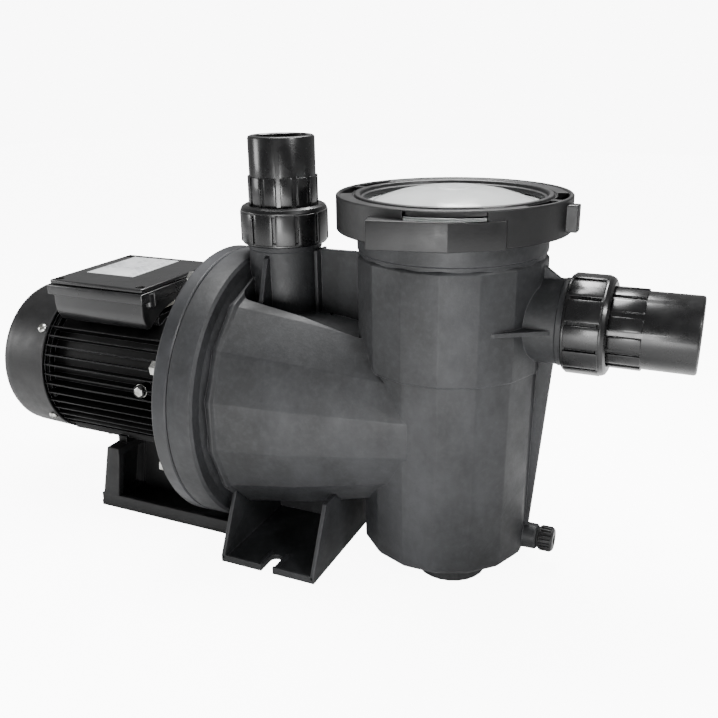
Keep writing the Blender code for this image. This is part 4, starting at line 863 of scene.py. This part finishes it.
# ---- Motor ------------------------------------------------------------------------------------
class PUMP_OT_motor_base(bpy.types.Operator):
    """Builds the stand under the motor: sole, low walls, leaning post and spines"""
    bl_idname = "pump.motor_base"
    bl_label = "Motor base"

    def execute(self, context):
        x0, x1 = BASE_X
        top = CRADLE_Z[0] - 0.3
        wall = 15.5
        base = rounded(block("motor_base_moulding", (x0, -BASE_Y, 0), (x1, BASE_Y, 6.5)), 0.9)
        sides = [rounded(block("base_wall", (x0 + 1, y - 2.8, 0.5), (x1 - 0.2, y + 2.8, wall)), 0.9)
                 for y in (-BASE_Y + 3, BASE_Y - 3)]
        post = rounded(plate("base_post", [
            (x0 + 0.2, 1), (x0 + 22, 1), (x0 + 31, top - 10), (x0 + 31, top), (x0 + 16, top)],
            -BASE_Y + 0.2, BASE_Y - 0.2), 1.2)
        # The post is a channel: its front is open between two cheeks.
        channels = [rounded(plate("post_channel", [
            (x0 + 12, wall - 4), (x0 + 40, wall - 4), (x0 + 40, top - 9), (x0 + 22.5, top - 9)],
            y, y + BASE_Y - 40), 2) for y in (-BASE_Y + 8, 32)]
        end = PLATE_REAR - 40
        spines = [rounded(plate("base_spine", [
            (x0 + 20, 3), (x1 - 1, 3), (x1 - 1, wall - 3), (end, 40), (end, top),
            (x0 + 25, top)], y, y + 6), 0.9) for y in (-30, 24)]
        carve(post, *channels)
        unite(base, *sides, post, *spines)
        saddle = lathe("flange_clearance", [
            (PLATE_REAR - 11, PLATE_R + 0.4), (x1 + 2, PLATE_R + 0.4)], 128,
            at=(0, 0, AXIS_Z), turn=ALONG_X)
        carve(base, saddle)
        finish(base, "pump", base_polypropylene, ["motor_base"], 25)
        return {"FINISHED"}


class PUMP_OT_motor(bpy.types.Operator):
    """Builds the finned motor housing with its end rims, pad and cradle"""
    bl_idname = "pump.motor"
    bl_label = "Motor housing"

    def execute(self, context):
        sizes = context.scene.pump_sizes
        rear, front = HOUSING_REAR + 0.1, HOUSING_FRONT
        half = sizes.fin_thickness / MM / 2
        housing = lathe("motor_housing_extrusion", [
            (rear, HOUSING_BORE_R), (rear, HOUSING_R + 6), (rear + 3, HOUSING_R + 6),
            (rear + 4, HOUSING_R), (front - 4, HOUSING_R), (front - 3, HOUSING_R + 6),
            (front, HOUSING_R + 6), (front, HOUSING_BORE_R)],
            96, ring=True, at=(0, 0, AXIS_Z), turn=ALONG_X)
        pitch = math.tau / sizes.fins
        fin = rounded(block("fin", (rear + 0.2, -half, AXIS_Z + HOUSING_R - 0.8),
                            (front - 0.2, half, AXIS_Z + FIN_R)), 0.45)
        fins = around(fin, sizes.fins, "X", (0, 0, AXIS_Z), pitch / 2)
        kept = []
        for piece in fins:
            tip = max((v.co for v in piece.data.vertices),
                      key=lambda co: math.hypot(co.y, co.z - AXIS_Z * MM))
            angle = math.degrees(math.atan2(tip.z - AXIS_Z * MM, tip.y))
            if abs(angle - 90) < 47 or abs(angle + 90) < 37:
                bpy.data.objects.remove(piece, do_unlink=True)
            else:
                kept.append(piece)
        pad = rounded(block("box_pad", (BOX_X[0] + 6, -36, AXIS_Z + 60),
                            (BOX_X[1] - 6, 36, PAD_Z)), 1)
        cradle = rounded(block("cradle", (rear + 12, -57, CRADLE_Z[0] + 5),
                               (front - 2, 57, CRADLE_Z[0] + 12)), 1.2)
        spacers = [rounded(block("cradle_spacer", (BASE_X[0] + 20, y, CRADLE_Z[0]),
                                 (BASE_X[0] + 31, y + 11, CRADLE_Z[0] + 8)), 0.6)
                   for y in (-61, 50)]
        hub = rounded(block("cradle_hub", (rear + 12, -46, CRADLE_Z[0]),
                            (front - 2, 46, CRADLE_Z[1])), 1.2)
        lug = lathe("bolt_lug", [(0, 6.6), (16, 6.6)], 32, at=(-163, -FIN_R + 14, AXIS_Z + 4),
                    turn=(math.pi / 2, 0, 0))
        unite(housing, join("fins", kept), pad, hub, cradle, *spacers, rounded(lug, 0.8))
        carve(housing, lathe("bore", [(rear - 1, HOUSING_BORE_R), (front + 1, HOUSING_BORE_R)], 96,
                             at=(0, 0, AXIS_Z), turn=ALONG_X))
        finish(housing, "pump", painted_aluminium, ["motor_housing"], 25)
        return {"FINISHED"}


class PUMP_OT_fan_cover(bpy.types.Operator):
    """Builds the fan cover with its slotted end, and the screws that hold it"""
    bl_idname = "pump.fan_cover"
    bl_label = "Fan cover"

    def execute(self, context):
        rear, mouth = COVER_REAR, HOUSING_REAR - 0.3
        shell = lathe("fan_cover_moulding", [
            (rear, 10), (rear, COVER_R - 10), (rear + 0.9, COVER_R - 6.6), (rear + 2.8, COVER_R - 3.9),
            (rear + 6, COVER_R - 2.2), (rear + 12, COVER_R - 1.5), (mouth - 4, COVER_R - 0.2),
            (mouth - 0.8, COVER_R), (mouth, COVER_R - 0.6), (mouth, COVER_R - 2.4),
            (rear + 9, COVER_R - 5), (rear + 4, COVER_R - 9), (rear + 2.4, COVER_R - 15),
            (rear + 2.4, 10)], 128, ring=True, at=(0, 0, AXIS_Z), turn=ALONG_X)
        slots = []
        count = context.scene.pump_sizes.cover_slots
        for low, high in ((22, 40), (44, 66)):
            slot = rounded(block("slot", (rear - 2, -2.2, AXIS_Z + low),
                                 (rear + 6, 2.2, AXIS_Z + high)), 1.4)
            slots += around(slot, count if high > 50 else count // 2, "X", (0, 0, AXIS_Z))
        carve(shell, join("slots", slots))
        hub = rounded(lathe("hub", [(rear, 13), (rear + 2.6, 13)], 48, at=(0, 0, AXIS_Z),
                            turn=ALONG_X), 0.6)
        unite(shell, hub)
        finish(shell, "pump", cover_polypropylene, ["fan_cover"], 25)
        x = HOUSING_REAR - 8
        pan = lathe("pan_screw", [
            (COVER_R - 10, 2.1), (COVER_R - 0.2, 2.1), (COVER_R - 0.2, 5.0), (COVER_R + 0.8, 5.0),
            (COVER_R + 2.0, 4.2), (COVER_R + 2.8, 2.6), (COVER_R + 3.0, 0.4)], 24)
        cross = [block("cross", (-3, -0.5, COVER_R + 1.6), (3, 0.5, COVER_R + 4)),
                 block("cross", (-0.5, -3, COVER_R + 1.6), (0.5, 3, COVER_R + 4))]
        carve(pan, *cross)
        for i, angle in enumerate((38, 142, -144, -36)):
            screw = pan.copy()
            screw.data = pan.data.copy()
            context.scene.collection.objects.link(screw)
            put(screw, (x, 0, AXIS_Z), (math.radians(angle) - math.pi / 2, 0, 0))
            screw.name = f"cover_pan_screw_{i + 1}"
            finish(screw, "pump", zinc_plated_steel, [f"cover_screw_{i + 1}"], 30)
        bpy.data.objects.remove(pan, do_unlink=True)
        return {"FINISHED"}


def lid_screw_spots():
    return [(x, y) for x in (BOX_X[0] + 8, BOX_X[1] - 8) for y in (-BOX_Y + 8, BOX_Y - 8)]


class PUMP_OT_terminal_box(bpy.types.Operator):
    """Builds the terminal box, its lid, screws, gland and rating plate"""
    bl_idname = "pump.terminal_box"
    bl_label = "Terminal box"

    def execute(self, context):
        x0, x1 = BOX_X
        seam, brim, low = 243.2, 3.0, BOX_LOW - 2.5
        belly = BOX_Y - 3 - BELLY_R
        box = rounded(plate("terminal_box_moulding",
                            [(BOX_Y - 3, seam - 3), (-BOX_Y + 3, seam - 3)]
                            + arc(BELLY_R, 180, 270, 13, (-belly, low + BELLY_R))
                            + arc(BELLY_R, 270, 360, 13, (belly, low + BELLY_R)),
                            x0 + 0.6, x1 - 4, "YZ"), 2.4, 3, 40)
        skirt = rounded(block("skirt", (x0 - brim, -BOX_Y - 1.2, 232.5),
                              (x1, BOX_Y + 1.2, seam)), 1.2, 3)
        pillars = [lathe("pillar", [(226, 3.4), (228, 5.2), (seam - 2, 5.2)], 32, at=(x, y, 0))
                   for x in (x0 + 1.2, x1 - 3.2) for y in (-BOX_Y + 15, BOX_Y - 15)]
        box = unite(box, skirt, *pillars)
        hollow = rounded(block("hollow", (x0 + 6, -BOX_Y + 8, PAD_Z + 3),
                               (x1 - 6, BOX_Y - 8, seam + 5)), 2)
        saddle = lathe("saddle", [(x0 - 5, FIN_R + 0.3), (x1 + 5, FIN_R + 0.3)], 96,
                       at=(0, 0, AXIS_Z), turn=ALONG_X)
        carve(box, hollow, saddle)
        finish(box, "pump", box_plastic_gloss, ["terminal_box"], 30)
        lid = rounded(block("terminal_lid_moulding", (x0 + 0.6, -BOX_Y + 0.6, seam + 0.6),
                            (x1 - 0.6, BOX_Y - 0.6, BOX_TOP)), 1.5, 4)
        label_low, label_high = span("rating_plate")
        recess = block("label_recess", (label_low.x - 0.6, label_low.y - 0.6, BOX_TOP - 0.8),
                       (label_high.x + 0.6, label_high.y + 0.6, BOX_TOP + 2))
        wells = [lathe("well", [(BOX_TOP - 4.4, 4.4), (BOX_TOP + 1, 4.9)], 32, at=(x, y, 0))
                 for x, y in lid_screw_spots()]
        under = rounded(block("lid_hollow", (x0 + 8, -BOX_Y + 12, seam - 2),
                              (x1 - 8, BOX_Y - 12, BOX_TOP - 2.6)), 1)
        carve(lid, recess, *wells, under)
        finish(lid, "pump", box_plastic_gloss, ["terminal_lid"], 30)
        sheet = rounded(block("rating_plate_foil", (label_low.x, label_low.y, BOX_TOP - 0.6),
                              (label_high.x, label_high.y, BOX_TOP + 0.1)), 0.3)
        finish(sheet, "pump", printed_foil, ["rating_plate"], 30)
        for i, (x, y) in enumerate(lid_screw_spots()):
            screw = lathe("screw", [(BOX_TOP - 14, 1.9), (BOX_TOP - 4.2, 1.9),
                                    (BOX_TOP - 4.2, 3.9), (BOX_TOP - 2.6, 3.6),
                                    (BOX_TOP - 1.8, 2.2), (BOX_TOP - 1.6, 0.4)], 24, at=(x, y, 0))
            carve(screw, block("cross", (x - 3, y - 0.5, BOX_TOP - 2.8), (x + 3, y + 0.5, BOX_TOP)),
                  block("cross", (x - 0.5, y - 3, BOX_TOP - 2.8), (x + 0.5, y + 3, BOX_TOP)))
            screw.name = f"lid_pan_screw_{i + 1}"
            finish(screw, "pump", zinc_plated_steel, [f"lid_screw_{i + 1}"], 30)
        spot = middle("cable_gland")
        gland = lathe("cable_gland_body", [
            (-8, 5), (-8, 8), (0.4, 8), (0.4, 9.6), (7.2, 9.6), (8, 8.8), (12, 8.6), (13, 7.6),
            (13, 5)], 48, ring=True)
        nut = carve(rounded(lathe("gland_nut", [(0.4, 11), (6, 11)], 6), 0.6),
                    lathe("gland_core", [(-1, 6), (8, 6)], 32))
        unite(gland, nut)
        put(gland, (spot.x, BOX_Y, spot.z), (-math.pi / 2, 0, 0))
        finish(gland, "pump", box_plastic_gloss, ["cable_gland"], 25)
        return {"FINISHED"}


# ---- Unions and the drain ---------------------------------------------------------------------
def union_pieces(sizes, name, face, far, radii, at, turn):
    """One union: the ribbed nut and the tail that it draws on to the spigot's face."""
    spigot_r, nut_r, tail_r = radii
    lip = face + 7.3
    tail = lathe(name + "_union_tail", [
        (face, PORT_BORE_R), (face, spigot_r - 1.4), (face + 0.8, spigot_r - 0.8),
        (face + 7, spigot_r - 0.8), (face + 7, tail_r), (far - 2.2, tail_r), (far - 0.7, tail_r - 0.6), (far, tail_r - 2),
        (far, PORT_BORE_R + 1), (far - 1, PORT_BORE_R)], 96, ring=True)
    panel = rounded(plate("tail_panel", arc(tail_r + 1.7, -10, 10, 7) + arc(tail_r - 0.6, 10, -10, 7),
                          lip + 4.8, lip + 31, "XY"), 0.45)
    unite(tail, join("tail_panels", around(panel, sizes.tail_panels)))
    put(tail, at, turn)
    finish(tail, name + "_tail", union_vinyl, [name + "_tail"], 25)
    low, high = face - 24.5, lip + 4.5
    nut = lathe(name + "_union_nut", [
        (low, spigot_r + 0.4), (low, nut_r - 2.4), (low + 0.8, nut_r - 1.6),
        (low + 4, nut_r - 1.6), (low + 5, nut_r - 2.6), (high - 8, nut_r - 2.6),
        (high - 7, nut_r - 0.8), (high - 4.4, nut_r - 0.6), (high - 1.6, nut_r - 2),
        (high, nut_r - 5),
        (high, tail_r + 0.7), (lip + 0.1, tail_r + 0.7), (lip + 0.1, spigot_r + 0.4)],
        96, ring=True)
    panel = rounded(plate("nut_panel", arc(nut_r, -13, 13, 7) + arc(nut_r - 4, 13, -13, 7),
                          low + 2.4, high - 5.5, "XY"), 0.8, 3)
    unite(nut, join("nut_panels", around(panel, sizes.nut_panels)))
    put(nut, at, turn)
    finish(nut, name + "_nut", union_vinyl, [name + "_nut"], 25)


class PUMP_OT_unions(bpy.types.Operator):
    """Builds the two unions: ribbed nuts and ribbed tails"""
    bl_idname = "pump.unions"
    bl_label = "Unions"

    def execute(self, context):
        sizes = context.scene.pump_sizes
        union_pieces(sizes, "suction", SUCTION_FACE, SUCTION_END, SUCTION_R, (0, 0, SUCTION_Z),
                     ALONG_X)
        union_pieces(sizes, "discharge", PORT_FACE, PORT_END, DISCHARGE_R, (PORT_X, 0, 0),
                     UPRIGHT)
        return {"FINISHED"}


class PUMP_OT_drain(bpy.types.Operator):
    """Builds the drain plug with its knurled cap"""
    bl_idname = "pump.drain"
    bl_label = "Drain plug"

    def execute(self, context):
        face = span("drain_seal")[0].x
        plug = lathe("drain_plug_cap", [
            (face - 16, 5.2), (face - 15, 5.8), (face + 2.1, 5.8), (face + 2.1, 11.2),
            (face + 3.4, 11.2), (face + 3.6, 10.6), (face + 12.6, 10.6), (face + 12.8, 11.2),
            (face + 14.2, 11), (face + 15.2, 9.6)], 64)
        rib = rounded(block("knurl", (10, -0.9, face + 3), (12, 0.9, face + 13)), 0.4)
        unite(plug, join("knurls", around(rib, 20)))
        carve(plug, rounded(lathe("socket", [(face + 11.5, 4.6), (face + 18, 4.6)], 6), 0.2))
        put(plug, (0, 0, DRAIN_Z), ALONG_X)
        finish(plug, "drain_plug", drain_nylon, ["drain_plug"], 25)
        return {"FINISHED"}


# ---- Strainer pot -----------------------------------------------------------------------------
class PUMP_OT_basket(bpy.types.Operator):
    """Builds the strainer basket with its slots, bands and bail"""
    bl_idname = "pump.basket"
    bl_label = "Strainer basket"

    def execute(self, context):
        top, bottom = LEDGE_Z + 4.3, LEDGE_Z - 175.0
        basket = lathe("strainer_basket_moulding", [
            (bottom, 50), (bottom + 1.5, 52.5), (bottom + 8, 57.5), (LEDGE_Z + 0.3, 63),
            (LEDGE_Z + 0.3, BORE_R - 1), (top - 0.6, BORE_R - 1), (top, BORE_R - 1.6), (top, 62),
            (bottom + 8.5, 55.8), (bottom + 2, 50.5)], 96, at=(POT_X, 0, 0))
        rows = []
        for level in range(4):
            low = bottom + 12 + level * 40
            slot = rounded(block("slot", (POT_X + 40, -2.6, low), (POT_X + 70, 2.6, low + 33)), 1.6)
            rows += around(slot, 30, "Z", (POT_X, 0, 0))
        carve(basket, join("slots", rows))
        bail = plate("bail", [
            (POT_X - 66, LEDGE_Z + 1.5), (POT_X - 66, 262), (POT_X - 52, 300), (POT_X + 52, 300),
            (POT_X + 66, 262), (POT_X + 66, LEDGE_Z + 1.5), (POT_X + 62.5, LEDGE_Z + 1.5),
            (POT_X + 62.5, 261), (POT_X + 50, 296), (POT_X - 50, 296), (POT_X - 62.5, 261),
            (POT_X - 62.5, LEDGE_Z + 1.5)], -3, 3)
        unite(basket, rounded(bail, 0.9))
        finish(basket, "basket", basket_polypropylene, ["strainer_basket"], 30)
        return {"FINISHED"}


class PUMP_OT_clear_lid(bpy.types.Operator):
    """Builds the clear domed lid with its ribs and centre boss"""
    bl_idname = "pump.clear_lid"
    bl_label = "Clear lid"

    def execute(self, context):
        seat = POT_TOP + 0.3
        lid = lathe("clear_lid_moulding", [
            (seat, 68), (seat, 89), (seat + 4, 89), (seat + 4.9, 88), (seat + 4.9, 73.5),
            (seat + 6.4, 71), (seat + 9.6, 63), (seat + 14, 49), (seat + 17, 34),
            (seat + 18, 20), (seat + 18, 15), (seat + 19, 14), (seat + 19, 2),
            (seat + 14.4, 2), (seat + 14, 22), (seat + 11, 44), (seat + 5.4, 60),
            (seat + 1.2, 66)], 96, ring=True)
        pip = lathe("pip", [(seat + 14.6, 2.6), (seat + 18.6, 2.6), (seat + 19, 2.2)], 24)
        rib = rounded(plate("lid_rib", [(14, seat + 15.5), (34, seat + 14), (49, seat + 11.4),
                                        (60, seat + 7), (60, seat + 3), (44, seat + 6), (14, seat + 9)],
                            -2.0, 2.0), 0.4)
        unite(lid, pip, join("lid_ribs", around(rib, context.scene.pump_sizes.lid_ribs)))
        put(lid, (POT_X, 0, 0))
        finish(lid, "lid", clear_polycarbonate, ["clear_lid"], 30)
        return {"FINISHED"}


def grip_outline(points, index):
    """An outline given across and out from a grip's middle, turned to its side of the pot."""
    turn = math.radians(10 - 90 + index * 180)
    return [(POT_X + out * math.cos(turn) - across * math.sin(turn),
             out * math.sin(turn) + across * math.cos(turn)) for across, out in points]


class PUMP_OT_lock_ring(bpy.types.Operator):
    """Builds the lock ring: two walls, a slotted web, two hollow grips and a stop tab"""
    bl_idname = "pump.lock_ring"
    bl_label = "Lock ring"

    def execute(self, context):
        top = RING_HIGH
        ring = lathe("lock_ring_moulding", [
            (RING_LOW, RING_R - 0.8), (RING_LOW + 0.8, RING_R), (top - 1, RING_R),
            (top, RING_R - 1), (top, RING_R - 3.2), (top - 1.2, RING_R - 4.2), (top - 1.2, 88.2),
            (top - 2.2, 87.6), (top - 2.2, 86.6), (top - 0.4, 85.8), (top, 85), (top, 82.2),
            (top - 0.8, 81.2), (top - 3.2, 80.6), (top - 4, 78.4), (top - 7.5, 77.7),
            (top - 8.3, 80), (top - 8.3, 88), (top - 7, 89.5), (top - 5, RING_R - 5.4),
            (RING_LOW + 20, RING_R - 4.8), (RING_LOW + 18, POT_RIM_R + 1.2),
            (RING_LOW, POT_RIM_R + 1.2)], 128, ring=True, at=(POT_X, 0, 0))
        shapes, pockets = [], []
        for i in range(2):
            start, end = 10 - 90 + i * 180 - 14.5, 10 - 90 + i * 180 + 23
            pockets.append(plate("mouth", arc(RING_R + 2, start, end, 13, (POT_X, 0))
                                 + arc(RING_R - 6, end, start, 13, (POT_X, 0)),
                                 RING_LOW + 21.5, top - 1.6, "XY"))
            lug = [(-56, 84), (-54, 96), (-53.5, 107.4), (11, 107.4), (54, 89.5), (54, 84)]
            well = [(-26, 86), (-26, 101), (-22, 103), (9.5, 103), (43, 89), (43, 86)]
            shapes.append(rounded(plate("grip", grip_outline(lug, i), RING_LOW - 1,
                                        RING_LOW + 22.4, "XY"), 1.0, 3))
            pockets.append(rounded(plate("pocket", grip_outline(well, i), RING_LOW + 8, top - 2.4,
                                         "XY"), 1.0, 3))
        shapes.append(rounded(block("tab", (POT_X + RING_R - 3, -16, RING_LOW + 4),
                                    (POT_X + RING_R + 8, -4, top - 4)), 1))
        hole = lathe("ring_inside", [(RING_LOW - 2, RING_R - 1.5), (top + 2, RING_R - 1.5)],
                     128, at=(POT_X, 0, 0))
        grips = join("grips", shapes)
        carve(grips, hole)
        unite(ring, grips)
        carve(ring, *pockets)
        slots = []
        for centre in (-7, 173):
            for start in (centre - 26, centre + 2):
                slots.append(plate("web_slot", arc(98.2, start, start + 24, 9, (POT_X, 0))
                                   + arc(88.6, start + 24, start, 9, (POT_X, 0)),
                                   top - 12, top + 2, "XY"))
        carve(ring, join("web_slots", slots))
        finish(ring, "ring", ring_polypropylene, ["lock_ring"], 16)
        return {"FINISHED"}


class PUMP_OT_inner_parts(bpy.types.Operator):
    """Gives the inner parts, whose shapes come from the frame, their finishes"""
    bl_idname = "pump.inner_parts"
    bl_label = "Inner parts"

    def execute(self, context):
        finishes = {
            inner_polyamide: ("diffuser", "impeller", "cooling_fan"),
            nitrile_rubber: ("casing_o_ring", "seal_ring", "terminal_gasket", "lid_o_ring",
                             "suction_o_ring", "discharge_o_ring", "drain_seal"),
            alumina_ceramic: ("seal_seat",),
            ground_steel: ("shaft", "front_bearing", "rear_bearing"),
            lamination_steel: ("stator_core", "rotor_core"),
            enamelled_copper: ("rear_winding", "front_winding"),
            painted_aluminium: ("rear_shield",),
            cast_aluminium: ("front_shield",),
            white_polyamide: ("terminal_block", "capacitor"),
            zinc_plated_steel: ("cradle_bolt_1", "cradle_bolt_2"),
        }
        for maker, names in finishes.items():
            for name in names:
                for material_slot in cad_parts[name].material_slots:
                    material_slot.material = shared(maker)
        return {"FINISHED"}


# ---- Studio -----------------------------------------------------------------------------------
class PUMP_OT_stage(bpy.types.Operator):
    """Adds the floor, the surroundings, the soft lights and the camera"""
    bl_idname = "pump.stage"
    bl_label = "Studio"

    def execute(self, context):
        view = context.scene.pump_stage
        pick()
        bpy.ops.mesh.primitive_plane_add(size=8)
        floor = context.object
        floor.name = "studio_floor"
        floor.data.materials.append(shared(studio_floor))

        world = bpy.data.worlds.new("studio")
        world.use_nodes = True
        sky = world.node_tree.nodes["Background"]
        sky.inputs["Color"].default_value = (1.0, 1.0, 1.0, 1.0)
        # The backdrop is far brighter to look at than the light that it gives the pump.
        seen = add_node(world.node_tree, "ShaderNodeLightPath").outputs["Is Camera Ray"]
        strength = add_node(world.node_tree, "ShaderNodeMapRange", {
            "Value": seen, "To Min": view.sky, "To Max": view.backdrop}).outputs[0]
        world.node_tree.links.new(strength, sky.inputs["Strength"])
        context.scene.world = world

        for name, place, aim, size, power in (
                ("key", (0.35, -1.7, 0.12), (0.05, 0, 0.18), 0.5, 0.55),
                ("side", (-1.6, -0.7, 0.5), (-0.1, 0, 0.15), 0.5, 0.30),
                ("strip", (1.2, -0.5, 1.0), (0.2, 0, 0.25), 0.25, 0.30),
                ("lamp", (0.10, 0.35, 0.95), (0.13, 0, 0.33), 0.3, 0.30),
                ("top", (-0.2, 0.2, 1.6), (0, 0, 0.2), 0.7, 1.1)):
            pick()
            bpy.ops.object.light_add(type="AREA", location=place)
            light = context.object
            light.name = "light_" + name
            light.data.shape = "SQUARE"
            light.data.size = size
            light.data.energy = view.key_power * power
            ahead = Vector(aim) - Vector(place)
            light.rotation_euler = ahead.to_track_quat("-Z", "Y").to_euler()

        a, e, roll = view.azimuth, view.elevation, view.roll
        ahead = Vector((-math.sin(a) * math.cos(e), math.cos(a) * math.cos(e), -math.sin(e)))
        right = Vector((math.cos(a), math.sin(a), 0))
        up = right.cross(ahead)
        across = right * math.cos(roll) + up * math.sin(roll)
        up = up * math.cos(roll) - right * math.sin(roll)
        pick()
        bpy.ops.object.camera_add()
        camera = context.object
        camera.data.lens = view.lens
        camera.data.sensor_width = 36
        camera.matrix_world = (Matrix.Translation(Vector(view.eye))
                               @ Matrix((across, up, -ahead)).transposed().to_4x4())
        context.scene.camera = camera
        return {"FINISHED"}


# ---- Add-on -----------------------------------------------------------------------------------
GROUPS = {"pump_finishes": PumpFinishes, "pump_sizes": PumpSizes, "pump_stage": StageSizes}
OPERATORS = (PUMP_OT_stage, PUMP_OT_body, PUMP_OT_foot, PUMP_OT_seal_plate, PUMP_OT_bolts,
             PUMP_OT_motor_base, PUMP_OT_motor, PUMP_OT_fan_cover, PUMP_OT_terminal_box,
             PUMP_OT_unions, PUMP_OT_drain, PUMP_OT_basket, PUMP_OT_clear_lid,
             PUMP_OT_lock_ring, PUMP_OT_inner_parts)


class PUMP_PT_panel(bpy.types.Panel):
    """Lists the pump's pieces and what can be changed about them"""
    bl_idname = "PUMP_PT_panel"
    bl_label = "Pool Pump"
    bl_space_type = "VIEW_3D"
    bl_region_type = "UI"
    bl_category = "Pool Pump"

    def draw(self, context):
        for name, group in GROUPS.items():
            box = self.layout.box()
            for prop in group.__annotations__:
                box.prop(getattr(context.scene, name), prop)
        for operator in OPERATORS:
            self.layout.operator(operator.bl_idname)


def register():
    for cls in (*GROUPS.values(), *OPERATORS, PUMP_PT_panel):
        bpy.utils.register_class(cls)
    for name, group in GROUPS.items():
        setattr(bpy.types.Scene, name, PointerProperty(type=group))


def unregister():
    for name in GROUPS:
        delattr(bpy.types.Scene, name)
    for cls in (PUMP_PT_panel, *reversed(OPERATORS), *GROUPS.values()):
        bpy.utils.unregister_class(cls)


def main():
    register()
    for operator in OPERATORS:
        getattr(bpy.ops.pump, operator.bl_idname.split(".")[1])()


if __name__ == "__main__":
    main()
